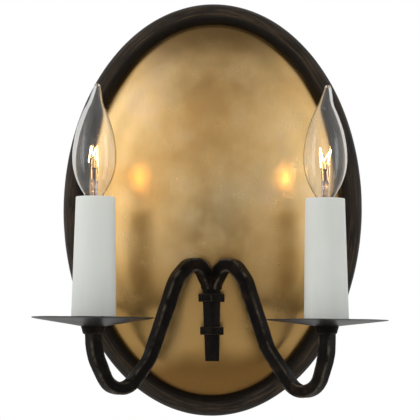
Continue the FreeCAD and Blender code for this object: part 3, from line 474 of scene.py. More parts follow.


def antique_brass():
    """Hand-rubbed brass sheet, mottled gold, tan and olive in soft clouds, with painted shade over its
    lower half and at both its ends, and a painted dark reflection of the rim round its edge.
    """
    brass = Finish("antique_brass", Metallic=1.0)
    cloud = brass.noise(16.0, 2.0, 0.45, 0.1)
    patch = brass.noise(52.0, 3.0, 0.5, 0.15)
    grain = brass.noise(1.0, 3.0, 0.6, 0.0, brass.stretched(700.0, 700.0, 90.0))
    tone = brass.maths("ADD", brass.maths("MULTIPLY", cloud, 0.72), brass.maths("MULTIPLY", patch, 0.28))
    colour = brass.ramp(tone, BRASS_CLOUDS)
    olive = brass.fade(brass.noise(22.0, 2.0, 0.45, 0.1), 0.50, 0.72)
    colour = brass.mix(brass.maths("MULTIPLY", olive, 0.30), colour, BRASS_OLIVE)
    rose = brass.fade(brass.noise(34.0, 2.0, 0.5), 0.55, 0.72)
    colour = brass.mix(brass.maths("MULTIPLY", rose, 0.25), colour, BRASS_ROSE)
    colour = brass.mix(brass.fade(grain, 0.35, 0.65, 0.0, 0.06), colour, BRASS_GRAIN)
    drift = brass.maths("MULTIPLY", brass.maths("SUBTRACT", cloud, 0.5), 0.05)
    place = brass.split()
    height = brass.maths("ADD", place["Z"], drift)
    # Painted shade over the plate's lower half, darkest towards its foot.
    colour = brass.mix(brass.fade(height, 0.02, -0.10, 0.0, 0.8), colour, BRASS_SHADE_BELOW)
    # Painted dark reflection of the rim round the edge, and painted shade at the foot and crown.
    beyond = brass.maths("ADD", beyond_rim_line(brass, place)[0], brass.maths("MULTIPLY", drift, 0.3))
    rim_reflection = brass.fade(beyond, -RIM_RADIUS - RIM_REFLECTION_STARTS, -RIM_RADIUS - RIM_REFLECTION_FULL, 0.0, 0.82)
    foot = brass.fade(height, -0.100, -0.127, 0.0, 0.85)
    crown = brass.fade(height, 0.100, 0.140, 0.0, 0.80)
    painted_shade = brass.maths("MAXIMUM", rim_reflection, brass.maths("MAXIMUM", foot, crown))
    colour = brass.mix(painted_shade, colour, BRASS_PAINTED_SHADE)
    roughness = brass.fade(patch, 0.3, 0.7, 0.20, 0.28)
    brass.set(Base_Color=colour, Roughness=roughness, Normal=brass.bump(grain, 0.00003, 0.3))
    return brass.material


def candle_white():
    """Pale moulded sleeve, matt, with the faintest unevenness."""
    white = Finish("candle_white", **{
        "Subsurface Weight": 0.15, "Subsurface Radius": (0.004, 0.004, 0.004), "Subsurface Scale": 1.0,
        "Specular IOR Level": 0.35})
    drift = white.noise(1.0, 3.0, 0.5, 0.0, white.stretched(60.0, 60.0, 12.0))
    grain = white.noise(1400.0, 3.0, 0.6)
    colour = white.mix(white.fade(drift, 0.3, 0.7), (0.685, 0.70, 0.655), (0.735, 0.75, 0.705))
    roughness = white.fade(grain, 0.3, 0.7, 0.48, 0.6)
    normal = white.bump(grain, 0.00006, 0.5, white.bump(drift, 0.0003, 0.2))
    white.set(Base_Color=colour, Roughness=roughness, Normal=normal)
    return white.material


def clear_glass():
    """Blown glass, hazed a little in places."""
    glass = Finish("clear_glass", **{"Transmission Weight": 1.0, "IOR": 1.46,
                                     "Base Color": (0.985, 0.99, 0.985)})
    wave = glass.noise(1.0, 2.0, 0.5, 0.0, glass.stretched(90.0, 90.0, 35.0))
    haze = glass.fade(glass.noise(160.0, 4.0, 0.6), 0.5, 0.8, 0.0, 0.03)
    glass.set(Roughness=haze, Normal=glass.bump(wave, 0.0004, 0.15))
    return glass.material


SMOKE = (0.24, 0.13, 0.11)


def tinted_glass(name, tint, through):
    """Glass of the lamp's mount, with a little smoke baked into it."""
    glass = Finish(name, **{"Transmission Weight": through, "IOR": 1.5})
    smoke = glass.noise(420.0, 3.0, 0.6)
    glass.set(Base_Color=glass.mix(glass.fade(smoke, 0.35, 0.65, 0.0, 0.35), tint, SMOKE),
              Roughness=glass.fade(smoke, 0.4, 0.8, 0.02, 0.12), Normal=glass.bump(smoke, 0.0002, 0.3))
    return glass.material


def bright_metal(name, dark, light, rough, grain=700.0):
    """Plated or plain metal with fine grain and a little tarnish."""
    metal = Finish(name, Metallic=1.0)
    tarnish = metal.noise(110.0, 5.0, 0.6, 0.3)
    fine = metal.noise(grain, 3.0, 0.6)
    metal.set(Base_Color=metal.mix(metal.fade(tarnish, 0.35, 0.65), dark, light),
              Roughness=metal.fade(tarnish, 0.3, 0.7, rough, rough + 0.15),
              Normal=metal.bump(fine, 0.00008, 0.5))
    return metal.material


def moulded(name, dark, light, rough):
    """Moulded insulation, faintly mottled."""
    plastic = Finish(name, **{"Specular IOR Level": 0.5})
    mottle = plastic.noise(240.0, 4.0, 0.6)
    plastic.set(Base_Color=plastic.mix(plastic.fade(mottle, 0.35, 0.65), dark, light),
                Roughness=plastic.fade(mottle, 0.3, 0.7, rough, rough + 0.12),
                Normal=plastic.bump(plastic.noise(1500.0, 2.0), 0.00005, 0.5))
    return plastic.material


HOOK_GLOW = (1.0, 0.32, 0.06)
FULL_GLOW = (1.0, 0.62, 0.24)


def glowing_filament():
    """Tungsten at lamp heat, a little cooler towards its hooks."""
    hot = Finish("hot_tungsten", Roughness=0.5, Metallic=1.0)
    heat = hot.fade(hot.split()["Z"], 0.026, 0.031, 0.6, 1.0)
    glow = hot.ramp(heat, [(0.0, HOOK_GLOW), (1.0, FULL_GLOW)])
    hot.set(Base_Color=(0.3, 0.28, 0.26), Emission_Color=glow, Emission_Strength=300.0)
    return hot.material


FINISH = {
    "aged_iron": aged_iron("aged_iron", (0.0026, 0.0019, 0.0014), (0.0050, 0.0037, 0.0028),
                           (0.020, 0.0135, 0.009)),
    "rim_iron": worn_rim_iron(),
    "antique_brass": antique_brass(),
    "candle_white": candle_white(),
    "clear_glass": clear_glass(),
    "zinc_steel": bright_metal("zinc_steel", (0.34, 0.34, 0.33), (0.52, 0.52, 0.50), 0.32),
    "cap_brass": bright_metal("cap_brass", (0.50, 0.34, 0.13), (0.72, 0.53, 0.25), 0.25),
    "green_screw": bright_metal("green_screw", (0.02, 0.16, 0.06), (0.05, 0.28, 0.10), 0.35),
    "black_phenolic": moulded("black_phenolic", (0.010, 0.010, 0.010), (0.022, 0.020, 0.019), 0.35),
    "insulator_glass": moulded("insulator_glass", (0.010, 0.012, 0.020), (0.03, 0.03, 0.045), 0.12),
    "tungsten": bright_metal("tungsten", (0.30, 0.25, 0.20), (0.55, 0.46, 0.38), 0.25, 1500.0),
    "hot_tungsten": glowing_filament(),
    "lead_wire": bright_metal("lead_wire", (0.16, 0.085, 0.055), (0.34, 0.20, 0.13), 0.38, 1500.0),
    "mount_glass": tinted_glass("mount_glass", (0.93, 0.83, 0.80), 0.9),
    "arbor_glass": tinted_glass("arbor_glass", (0.16, 0.085, 0.075), 0.25),
    "pan_iron": aged_iron("pan_iron", (0.007, 0.0066, 0.0070), (0.014, 0.0133, 0.0145),
                          (0.040, 0.037, 0.036), round_the_candle, gloss=0.36, rough=0.26),
}


def finish_of(material):
    """Name of the finish that a frame node's material stands for."""
    return material.name.split(".")[0]


def dress_frame_nodes():
    """Every frame node gets the finish of its own slot."""
    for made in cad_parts.values():
        for holder in made.material_slots:
            holder.material = FINISH[finish_of(holder.material)]


# ---- rim and plate

RIM_STEPS = 720
RIM_ARC_STEPS = 28
RIM_EASE = 0.06 * MM                       # keeps the dented bar within the frame's rim


def build_rim():
    """Half-round bar bent to an oval and dented by the hammer."""
    tree = Tree("half_round_rim", half_width=HALF_WIDTH - RIM_RADIUS,
                half_height=HALF_HEIGHT - RIM_RADIUS, bar=RIM_RADIUS - RIM_EASE, dent=0.28 * MM,
                dent_size=22 * MM, seed=3.0)
    size = tree.inputs
    ring = tree.out("GeometryNodeCurvePrimitiveCircle", {"Resolution": RIM_STEPS, "Radius": 1.0})
    halves = tree.out("ShaderNodeCombineXYZ", {"X": size["half_width"], "Y": size["half_height"],
                                               "Z": 1.0})
    oval = tree.out("GeometryNodeTransform", {"Geometry": ring, "Scale": halves})
    arc = tree.out("GeometryNodeCurveArc", {"Resolution": RIM_ARC_STEPS, "Radius": size["bar"],
                                            "Start Angle": 0.0, "Sweep Angle": math.pi})
    half_round = tree.out("GeometryNodeSetSplineCyclic", {"Geometry": arc, "Cyclic": True})
    bar = tree.out("GeometryNodeCurveToMesh", {"Curve": oval, "Profile Curve": half_round})
    upright = tree.out("GeometryNodeTransform", {
        "Geometry": bar, "Rotation": (math.radians(-90), 0.0, 0.0), "Translation": (0.0, RIM_BACK, 0.0)})
    dented = tree.jitter(upright, size["dent"], size["dent_size"], size["seed"])
    tree.finish(dented, FINISH["rim_iron"])
    mesh = tree.run("rim_bar", bpy.data.meshes.new("rim_seed"))
    piece("rim_bar", mesh, "rim_iron", 50, replaces=["rim"])


DOME_DEPTH = 70 * MM                       # of the ellipsoid that the plate's dome is cut from
DOME_GAP = 0.3 * MM                        # between the dome's foot and the rim's inner edge
PLATE_GAUGE = 0.9 * MM
EDGE_SWELL = 0.65 * MM                     # how far the dome stays full before it rolls to its flange
SWELL_STARTS, SWELL_IS_FULL = 0.78, 0.91   # as shares of the way from the crest to the foot
PLANISHING = 0.17 * MM                     # depth of the hammer's waves
BROAD_WAVE, FINE_WAVE = 0.034, 0.013       # their lengths
DOME_RINGS = 140
DOME_SPOKES = 288


def planished(x, z, share):
    """How far the hammer left the dome from its true shape, none of it at the foot."""
    broad = noise.noise(Vector((x, z, 4.0)) / BROAD_WAVE)
    fine = noise.noise(Vector((x, z, 2.0)) / FINE_WAVE)
    return PLANISHING * (broad + 0.3 * fine) * (1 - share ** 6)


def build_plate():
    """Domed sheet with its flange, gently uneven from the hand that planished it."""
    centre_y = plate_lo.y + DOME_DEPTH
    foot_x = HALF_WIDTH - 2 * RIM_RADIUS - DOME_GAP
    foot_z = HALF_HEIGHT - 2 * RIM_RADIUS - DOME_GAP
    level = (centre_y - RIM_BACK) / DOME_DEPTH
    spread = math.sqrt(1 - level * level)

    def skin(bm, gauge, edge_y):
        """Rings from the crest to the foot, then the flange's edge."""
        rings = []
        for step in range(DOME_RINGS + 1):
            share = step / DOME_RINGS
            rise = math.sqrt(max(1 - (share * spread) ** 2, 0.0))
            swell = ease((share - SWELL_STARTS) / (SWELL_IS_FULL - SWELL_STARTS))
            swell *= 1 - ease((share - SWELL_IS_FULL) / (1 - SWELL_IS_FULL))
            y = centre_y - (DOME_DEPTH - gauge) * rise - EDGE_SWELL * swell
            y = min(y, edge_y) if gauge else y
            ring = []
            for angle in turns(DOME_SPOKES if step else 1):
                x, z = foot_x * share * math.cos(angle), foot_z * share * math.sin(angle)
                ring.append(bm.verts.new((x, y + planished(x, z, share), z)))
            rings.append(ring)
        rings.append([bm.verts.new((plate_hi.x * math.cos(angle), edge_y, plate_hi.z * math.sin(angle)))
                      for angle in turns(DOME_SPOKES)])
        return rings

    def build(bm):
        front = skin(bm, 0.0, RIM_BACK)
        back = skin(bm, PLATE_GAUGE, RIM_BACK + PLATE_GAUGE)
        for rings in (front, back):
            for first, second in zip(rings, rings[1:]):
                bridge(bm, first, second)
        bridge(bm, front[-1], back[-1])
    piece("plate_dome", mesh_from("plate_dome", build), "antique_brass", 40,
          replaces=["brass_plate"])


# ---- arms

ARM_BAR = 8.8 * MM
ARM_TURN = math.radians(33.5)              # each arm's plane, out of the wall's
ARM_STEP = 0.7 * MM                        # between rings of the arm's mesh
ARM_SECTION_STEPS = 56
CANDLE_OUT = candle.x / math.cos(ARM_TURN) / MM
CUP_BASE = cup_base / MM
# Corners of each arm's centre line in its own plane, in mm: distance out from the stem axis, height,
# radius that rounds the corner, and the bar's width there.
ARM_ROUTES = {
    "left": [(2.0, -62.5, 0.0, 9.4), (2.0, -58.5, 10.0, 9.7), (13.6, -37.5, 9.8, 9.9),
             (30.9, -55.0, 22.0, 9.7), (54.2, -115.6, 26.0, 8.7), (82.3, -149.0, 15.0, 9.2),
             (CANDLE_OUT - 1.1, CUP_BASE - 13.1, 40.0, 10.0), (CANDLE_OUT - 0.9, CUP_BASE, 0.0, 10.1)],
    "right": [(2.0, -62.5, 0.0, 9.4), (2.0, -58.5, 10.0, 9.7), (14.5, -37.6, 9.8, 9.7),
              (30.6, -55.4, 22.0, 9.5), (51.0, -107.0, 24.0, 8.9), (88.8, -154.3, 15.0, 9.2),
              (CANDLE_OUT, CUP_BASE - 13.1, 40.0, 9.8), (CANDLE_OUT, CUP_BASE + 1.5, 0.0, 9.9)],
}


def arm_tree():
    """A rounded square bar along a route, its width read from the route and its edges marked, for edges
    rubbed bare and a painted edge highlight.
    """
    tree = Tree("forged_arm", bar=ARM_BAR, edge=0.9 * MM, dent=0.9 * MM, dent_size=10 * MM, seed=1.0)
    size = tree.inputs
    route = tree.keep(size["Geometry"], "width", tree.out("GeometryNodeInputCurveTilt"))
    bent = tree.rounded(route, tree.out("GeometryNodeInputRadius"), 24)
    fine = tree.stepped(tree.even(tree.untilted(bent)), ARM_STEP)
    square = tree.out("GeometryNodeCurvePrimitiveQuadrilateral", {"Width": size["bar"],
                                                                  "Height": size["bar"]})
    section = tree.out("GeometryNodeResampleCurve", {"Curve": tree.rounded(square, size["edge"], 3),
                                                     "Count": ARM_SECTION_STEPS}, mode="COUNT")
    place = tree.add("ShaderNodeSeparateXYZ", {0: tree.out("GeometryNodeInputPosition")}).outputs
    near = tree.maths("MINIMUM", tree.maths("ABSOLUTE", place[0]), tree.maths("ABSOLUTE", place[1]))
    # The section's corners are marked for bare metal and a painted edge highlight.
    corner = tree.fade(tree.maths("DIVIDE", near, size["bar"]), 0.30, 0.45)
    marked = tree.keep(section, "worn_edge_highlight", corner)
    width = tree.out("GeometryNodeInputNamedAttribute", {"Name": "width"}, data_type="FLOAT")
    bar = tree.out("GeometryNodeCurveToMesh", {"Curve": fine, "Profile Curve": marked, "Scale": width,
                                               "Fill Caps": True})
    tree.finish(tree.jitter(bar, size["dent"], size["dent_size"], size["seed"]), FINISH["aged_iron"])
    return tree


def mitred(mesh, side):
    """Cuts off what passes the middle of the fitting, where the two arms meet, and closes the cut."""
    bm = bmesh.new()
    bm.from_mesh(mesh)
    cut = bmesh.ops.bisect_plane(bm, geom=bm.verts[:] + bm.edges[:] + bm.faces[:], dist=1e-7,
                                 plane_co=(0, 0, 0), plane_no=(-side, 0, 0), clear_outer=True)
    edges = [item for item in cut["geom_cut"] if isinstance(item, bmesh.types.BMEdge)]
    bmesh.ops.holes_fill(bm, edges=edges)
    bmesh.ops.recalc_face_normals(bm, faces=bm.faces)
    bm.to_mesh(mesh)
    bm.free()
    return mesh


def build_arms():
    """The two S arms, each along its own route in a plane turned out from the wall."""
    tree = arm_tree()
    for count, (name, side) in enumerate(SIDES.items()):
        corners = [((out * MM, 0.0, height * MM), radius * MM, width * MM / ARM_BAR)
                   for out, height, radius, width in ARM_ROUTES[name]]
        mesh = tree.run(name + "_forged_arm", polyline(name + "_route", corners), seed=count * 7.0 + 1.0)
        turn = Matrix.Rotation(-ARM_TURN if side > 0 else ARM_TURN + math.pi, 4, "Z")
        mesh.transform(Matrix.Translation((0.0, stem_axis.y, 0.0)) @ turn)
        piece(name + "_forged_arm", mitred(mesh, side), "aged_iron", 50,
              replaces=[name + "_arm"])


# ---- stem and small ironwork

STEM_LEAN = 1.1 * MM                       # how far the stem's lower end stands to the right of its top
# Bevel in mm of the stem's pieces, and how much wider each is forged than the frame's.
STEM_WORK = {"stem": (0.5, 1.0), "upper_collar": (0.8, 1.07), "lower_collar": (0.8, 1.04)}


def build_stem_ironwork():
    """Stem and collars with forged edges, leaning a little as they do in the photograph."""
    lo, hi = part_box("stem")
    for node, (bevel, spread) in STEM_WORK.items():
        mesh = softened(node, bevel * MM, 3, rubbed=0.35)
        for vertex in mesh.vertices:
            down = (hi.z - vertex.co.z) / (hi.z - lo.z)
            vertex.co.x = vertex.co.x * spread + STEM_LEAN * down
        piece(node + "_forged", mesh, "aged_iron", 40, replaces=[node])


WELD_HALVES = (4.3, 3.6, 9.0)              # half width, depth and height of the lump, in mm
WELD_PLACE = Vector((0.2, -3.2, -60.5))    # its middle from the stem's axis, in mm
WELD_ROUGHNESS = 0.6


def build_crotch_weld():
    """The lump of weld that fills the fork between the arms, down to the upper collar."""
    axis = Vector((stem_axis.x, stem_axis.y, 0.0))

    def build(bm):
        made = bmesh.ops.create_icosphere(bm, subdivisions=4, radius=1.0)
        for vertex in made["verts"]:
            place = Vector([part * half for part, half in zip(vertex.co, WELD_HALVES)])
            place += vertex.co * WELD_ROUGHNESS * noise.noise(place / 2.2)
            vertex.co = axis + (place + WELD_PLACE) * MM
    piece("crotch_weld", mesh_from("crotch_weld", build), "aged_iron", 60)


PAN_RADIUS = 44.9
PAN_LIP = 5.75                             # height of the lip's edge above the cup's top, in mm
PAN_SEAT = 1.2                             # height of the sheet's upper face at the sleeve seat, in mm
PAN_STEP = 1.5                             # between rings of the pan's mesh, in mm
PAN_SPOKES = 160
PAN_WAVER, PAN_RIPPLE = 0.28, 0.10         # how the lip waves up and down, broadly and finely, in mm
PAN_NIBBLE = 0.12                          # how far the lip is beaten in on average, in mm
# How deep each pan is against the section, how far its lip and its cup stand above their places, in mm.
PAN_HANG = {"left": (1.0, 0.0, -0.3), "right": (0.72, -0.45, 1.1)}
# Section of a pan in mm: radius and height above the cup's top, round the sheet from its hole.
PAN_SECTION = [(3.6, 0.0), (8.7, -0.85), (9.6, -0.8), (16.0, 0.35), (24.0, 1.6), (33.0, 3.05),
               (41.0, 4.4), (44.2, 5.1), (PAN_RADIUS, 5.45), (PAN_RADIUS, PAN_LIP),
               (PAN_RADIUS - 0.25, 5.95), (44.0, 5.9), (40.5, 5.3), (33.0, 4.1), (24.0, 2.75),
               (16.0, 1.55), (13.0, PAN_SEAT), (3.6, PAN_SEAT)]
SEAT_BEVEL, CUP_BEVEL = 0.2 * MM, 0.7 * MM
CUP_SPREAD = 0.07                          # how much wider each cup is forged than the frame's
CUP_INWARD = 0.3 * MM


def pan_profile(base, depth, lip_lift):
    """The pan's section in metres, cut into even steps, with the pan's own depth and lip height."""
    points = []
    for first, second in zip(PAN_SECTION, PAN_SECTION[1:]):
        steps = max(1, int(math.hypot(second[0] - first[0], second[1] - first[1]) / PAN_STEP))
        points += [tuple((a + (b - a) * step / steps) * MM for a, b in zip(first, second))
                   for step in range(steps)]
    points.append(tuple(value * MM for value in PAN_SECTION[-1]))
    lip = PAN_LIP * MM
    return [(radius, base + lip + (height - lip) * depth + lip_lift * MM) for radius, height in points]


def build_pans():
    """Drip pans beaten from sheet, with wavering edges, and the seat ring and cup of each."""
    for count, (name, side) in enumerate(SIDES.items()):
        axis = upright_axis(name + "_pan")
        depth, lip_lift, cup_lift = PAN_HANG[name]
        profile = pan_profile(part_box(name + "_pan")[0].z, depth, lip_lift)
        mesh = lathe(name + "_drip_pan", profile, axis, PAN_SPOKES)
        for vertex in mesh.vertices:
            spoke = Vector((vertex.co.x - axis.x, vertex.co.y - axis.y, 0.0))
            share = (spoke.length / (PAN_RADIUS * MM)) ** 2
            turn = spoke.normalized()
            wave = noise.noise(turn * 1.7 + Vector((0, 0, 5.0 + count * 3)))
            fine = noise.noise(turn * 6.0 + Vector((0, 0, 9.0 + count * 3)))
            vertex.co.z += (PAN_WAVER * wave + PAN_RIPPLE * (fine - 1)) * share * MM
            vertex.co -= turn * PAN_NIBBLE * (1 + fine) * share * MM
        piece(name + "_drip_pan", mesh, "pan_iron", 50, replaces=[name + "_pan"])
        seat = softened(name + "_sleeve_seat", SEAT_BEVEL)
        lift = (PAN_SEAT * MM - PAN_LIP * MM) * (depth - 1) + lip_lift * MM
        for vertex in seat.vertices:
            vertex.co.z += lift
        piece(name + "_seat_ring", seat, "aged_iron", 40, replaces=[name + "_sleeve_seat"])
        cup = softened(name + "_cup", CUP_BEVEL, 3, rubbed=0.3)
        for vertex in cup.vertices:
            vertex.co.x += (vertex.co.x - axis.x) * CUP_SPREAD - side * CUP_INWARD
            vertex.co.z += cup_lift * MM
        piece(name + "_forged_cup", cup, "aged_iron", 40, replaces=[name + "_cup"])


# Bevel in mm of the plain ironwork behind the plate and of its small fixings.
BACK_WORK = {"wall_strap": 0.35, "spine_bar": 0.35, "rim_band": 0.25, "inner_spacer": 0.3, "spacer": 0.3,
             "stem_nut": 0.4, "lock_washer": 0.15, "plate_clips": 0.15, "rim_set_screws": 0.2,
             "ground_screw": 0.2}


def build_back_work():
    """The bars, spacers and fixings behind the plate, with their edges eased."""
    for node, width in BACK_WORK.items():
        slot = finish_of(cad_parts[node].data.materials[0])
        piece(node + "_eased", softened(node, width * MM), slot, 35, replaces=[node])


# ---- candle sleeves and lamps

# Sideways shift of each sleeve's foot and top, in mm: they stand a little crooked on their seats.
SLEEVE_LEAN = {"left": (0.45, 1.0), "right": (-0.4, -2.0)}
SLEEVE_WALL = 1.0 * MM
SLEEVE_TAPER = 1.95 * MM                   # how much smaller its radius is at the top
SLEEVE_LIP = 0.35 * MM                     # radius that rounds its edges
SLEEVE_ROWS, SLEEVE_SPOKES = 40, 128
ROUNDED = 0.3                              # share of the lip by which a rounded edge's middle is set in


def build_sleeves():
    """Tapered candle sleeves with softly rounded edges, each with its lean."""
    for name in SIDES:
        lo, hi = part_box(name + "_candle_sleeve")
        base = (hi.x - lo.x) / 2
        top = base - SLEEVE_TAPER
        wall, lip = SLEEVE_WALL, SLEEVE_LIP
        profile = [(base - wall, lo.z), (base - lip, lo.z), (base, lo.z + lip)]
        for row in range(1, SLEEVE_ROWS):
            share = row / SLEEVE_ROWS
            profile.append((base + (top - base) * share, lo.z + (hi.z - lo.z) * share))
        profile += [(top, hi.z - lip), (top - lip * ROUNDED, hi.z - lip * ROUNDED), (top - lip, hi.z),
                    (top - wall + lip, hi.z), (top - wall + lip * ROUNDED, hi.z - lip * ROUNDED),
                    (top - wall, hi.z - lip)]
        foot_lean, top_lean = SLEEVE_LEAN[name]

        def lean(height):
            return (foot_lean + (top_lean - foot_lean) * (height - lo.z) / (hi.z - lo.z)) * MM
        axis = upright_axis(name + "_candle_sleeve")
        mesh = lathe(name + "_sleeve_tube", profile, axis, SLEEVE_SPOKES, lean)
        piece(name + "_sleeve_tube", mesh, "candle_white", 40, body=name + "_sleeve",
              replaces=[name + "_candle_sleeve"])


# Outside of the glass: radius at a height above the origin, in mm.
FLAME = [(6.5, -3.2), (6.5, 1.2), (7.3, 5.0), (9.5, 8.6), (12.4, 14.2), (14.4, 20.0), (15.7, 25.9),
         (16.1, 31.7), (15.95, 37.5), (15.2, 43.3), (14.2, 49.1), (12.65, 54.9), (10.65, 60.7),
         (8.3, 66.6), (6.7, 69.8), (5.45, 72.8), (4.55, 75.8), (3.9, 78.6), (3.2, 81.2), (2.55, 84.0),
         (2.05, 85.6), (1.2, 86.1), (0.0, 86.25)]
GLASS_WALL = 0.55
FLAME_INSIDE_TOP = 84.6
FLAME_SPOKES, MOUNT_SPOKES = 96, 32
# Sideways shift of each lamp's glass above its cap, and of its tip beyond that, in mm.
GLASS_LEAN = {"left": (-0.3, 1.5), "right": (-2.0, 1.7)}
NECK_FOOT, NECK_TOP = -3.0, 4.0            # heights between which the glass leaves its cap's axis, in mm
BEND_FOOT, BEND_TOP = 66.0, 86.0           # heights between which the tip bends


def curve_through(points, steps):
    """Points on a smooth curve through a list of (radius, height)."""
    def at(index):
        return points[max(0, min(index, len(points) - 1))]
    made = []
    for index in range(len(points) - 1):
        before, first, second, after = (at(index + shift) for shift in (-1, 0, 1, 2))
        for step in range(steps):
            t = step / steps
            made.append(tuple(
                0.5 * (2 * b + (c - a) * t + (2 * a - 5 * b + 4 * c - d) * t * t
                       + (3 * b - a - 3 * c + d) * t ** 3)
                for a, b, c, d in zip(before, first, second, after)))
    made.append(points[-1])
    return made


def glass_lean(name):
    """How far a lamp's glass stands off its cap's axis at a height. The tip is bent further."""
    body_lean, tip_lean = GLASS_LEAN[name]

    def lean(height):
        neck = clamp((height / MM - NECK_FOOT) / (NECK_TOP - NECK_FOOT))
        tip = ease((height / MM - BEND_FOOT) / (BEND_TOP - BEND_FOOT))
        return (body_lean * neck + tip_lean * tip) * MM
    return lean


def build_glass():
    """Blown bent-tip flames, each one closed skin of outside and inside."""
    outside = curve_through(FLAME, 6)
    inside = [(radius - GLASS_WALL, min(height, FLAME_INSIDE_TOP)) for radius, height in outside
              if radius > GLASS_WALL] + [(0.0, FLAME_INSIDE_TOP)]
    profile = [(radius * MM, height * MM) for radius, height in outside + inside[::-1]]
    for name in SIDES:
        axis = upright_axis(name + "_bulb_cap")
        mesh = lathe(name + "_flame_glass", profile, axis, FLAME_SPOKES, glass_lean(name))
        piece(name + "_flame_glass", mesh, "clear_glass", 60, body=name + "_bulb",
              replaces=[name + "_bulb_glass"])


# Zigzag of each filament, in mm across and up, from one lead wire's tip to the other's.
FILAMENT = {"left": ((-4.1, 28.4), (-2.4, 41.0), (-0.9, 33.0), (1.3, 40.0), (2.9, 25.9)),
            "right": ((-3.2, 25.8), (-4.0, 41.6), (-1.4, 30.2), (4.6, 39.3), (1.8, 28.6))}
FILAMENT_TURN = {"left": 8.0, "right": -12.0}      # of the zigzag's plane, in degrees
BEAD_HEIGHT = 14.5


def filament_tree():
    """Fine wire wound in a coil along a path."""
    tree = Tree("coiled_filament", coil=0.25 * MM, pitch=0.22 * MM, wire=0.075 * MM, bend=0.15 * MM)
    size = tree.inputs
    bent = tree.even(tree.rounded(size["Geometry"], size["bend"], 4))
    fine = tree.stepped(bent, tree.maths("DIVIDE", size["pitch"], 10.0))
    along = tree.add("GeometryNodeSplineParameter").outputs["Length"]
    angle = tree.maths("MULTIPLY", tree.maths("DIVIDE", along, size["pitch"]), 2 * math.pi)
    normal = tree.out("GeometryNodeInputNormal")
    tangent = tree.out("GeometryNodeInputTangent")
    turned = tree.out("ShaderNodeVectorRotate", {"Vector": normal, "Center": (0, 0, 0), "Axis": tangent,
                                                 "Angle": angle}, rotation_type="AXIS_ANGLE")
    coil = tree.out("GeometryNodeSetPosition", {"Geometry": fine,
                                                "Offset": tree.scaled(turned, size["coil"])})
    tree.finish(tree.round_wire(coil, size["wire"], 5), FINISH["hot_tungsten"])
    return tree


def wire_tree():
    """Plain drawn wire along a path, with eased bends."""
    tree = Tree("drawn_wire", wire=0.22 * MM, bend=0.8 * MM)
    size = tree.inputs
    bent = tree.rounded(size["Geometry"], size["bend"], 5)
    tree.finish(tree.round_wire(tree.even(tree.untilted(bent)), size["wire"], 10), FINISH["lead_wire"])
    return tree


def lead_lines(zigzag):
    """Two lead wires from the bead to the filament's ends, and two hooks from the button to its bends."""
    (first, first_up), (last, last_up) = zigzag[0], zigzag[-1]
    valley, valley_up = zigzag[2]
    return [[(-1.5, BEAD_HEIGHT - 1.5), (-2.5, 17.5), (-2.6, 22.5), (first, first_up + 0.4)],
            [(1.5, BEAD_HEIGHT - 1.5), (2.4, 17.5), (2.5, 22.5), (last, last_up + 0.4)],
            [(-0.5, 24.4), (-0.7, 28.0), (valley, valley_up + 0.3)],
            [(0.5, 24.4), (1.2, 27.0), (1.0, 30.0)]]


# Outside of the glass that carries the wires: a flare, a pinched bead, a thin arbor and its button.
MOUNT_SECTION = [(0.0, -3.2), (5.2, -3.2), (4.0, -0.6), (3.0, 2.4), (2.8, 8.0), (2.75, 10.5), (3.0, 12.2),
                 (2.95, 14.2), (2.2, 15.8), (1.2, 16.5), (0.0, 16.6)]
ARBOR_SECTION = [(0.0, 16.4), (1.2, 16.5), (1.25, 20.0), (1.2, 23.2), (1.7, 23.8), (1.75, 24.4),
                 (1.2, 24.9), (0.0, 25.0)]


def build_filaments():
    """The glowing coil of each lamp, the wires that hold it and the glass that holds the wires."""
    coil, drawn = filament_tree(), wire_tree()
    for name in SIDES:
        axis = upright_axis(name + "_bulb_cap")
        angle = math.radians(FILAMENT_TURN[name])
        across = Vector((math.cos(angle), math.sin(angle), 0.0))

        def at(reach, height):
            return axis + (across * reach + Vector((GLASS_LEAN[name][0], 0, height))) * MM
        corners = [(at(*point), 0.0, 0.0) for point in FILAMENT[name]]
        mesh = coil.run(name + "_coil", polyline(name + "_zigzag", corners))
        piece(name + "_coil", mesh, "hot_tungsten", 60, body=name + "_bulb",
              replaces=[name + "_filament"])
        bm = bmesh.new()
        for count, line in enumerate(lead_lines(FILAMENT[name])):
            corners = [(at(*point), 1.0, 0.0) for point in line]
            bm.from_mesh(drawn.run(f"{name}_lead_{count}", polyline(f"{name}_lead_{count}", corners)))
        mesh = bpy.data.meshes.new(name + "_leads")
        bm.to_mesh(mesh)
        bm.free()
        piece(name + "_leads", mesh, "lead_wire", 60, body=name + "_bulb",
              replaces=[name + "_support_wires"])
        for part, section, hides in (("mount", MOUNT_SECTION, [name + "_glass_mount"]),
                                     ("arbor", ARBOR_SECTION, [])):
            profile = [(radius * MM, height * MM) for radius, height in curve_through(section, 4)]
            mesh = lathe(f"{name}_{part}", profile, axis, MOUNT_SPOKES, glass_lean(name))
            piece(f"{name}_{part}", mesh, part + "_glass", 50, body=name + "_bulb",
                  replaces=hides)


# ---- studio

HEART = Vector((0.0, -0.05, 0.0))          # what every lamp of the studio points at
# Place, width, height and brightness to the eye of each softbox.
SOFTBOXES = {"key": ((-1.4, -0.65, 0.3), 0.6, 1.4, 1.5), "fill": ((1.4, -0.65, 0.2), 0.5, 1.2, 1.2),
             "front": ((-0.3, -1.6, 0.3), 0.8, 0.8, 0.55), "top": ((0.0, -0.5, 1.4), 1.0, 0.6, 1.6)}
FLOOR_HEIGHT = -0.85
FLOOR_REACH = 6.0


def build_softboxes():
    """Flat lamps that the object's gloss doesn't show; their power follows from how bright they look."""
    for name, (place, width, height, radiance) in SOFTBOXES.items():
        light = bpy.data.lights.new(name, "AREA")
        light.shape = "RECTANGLE"
        light.size = width
        light.size_y = height
        light.energy = radiance * math.pi * width * height
        made = bpy.data.objects.new(name, light)
        bpy.context.scene.collection.objects.link(made)
        made.visible_glossy = False
        made.location = place
        made.rotation_euler = (HEART - Vector(place)).to_track_quat("-Z", "Y").to_euler()


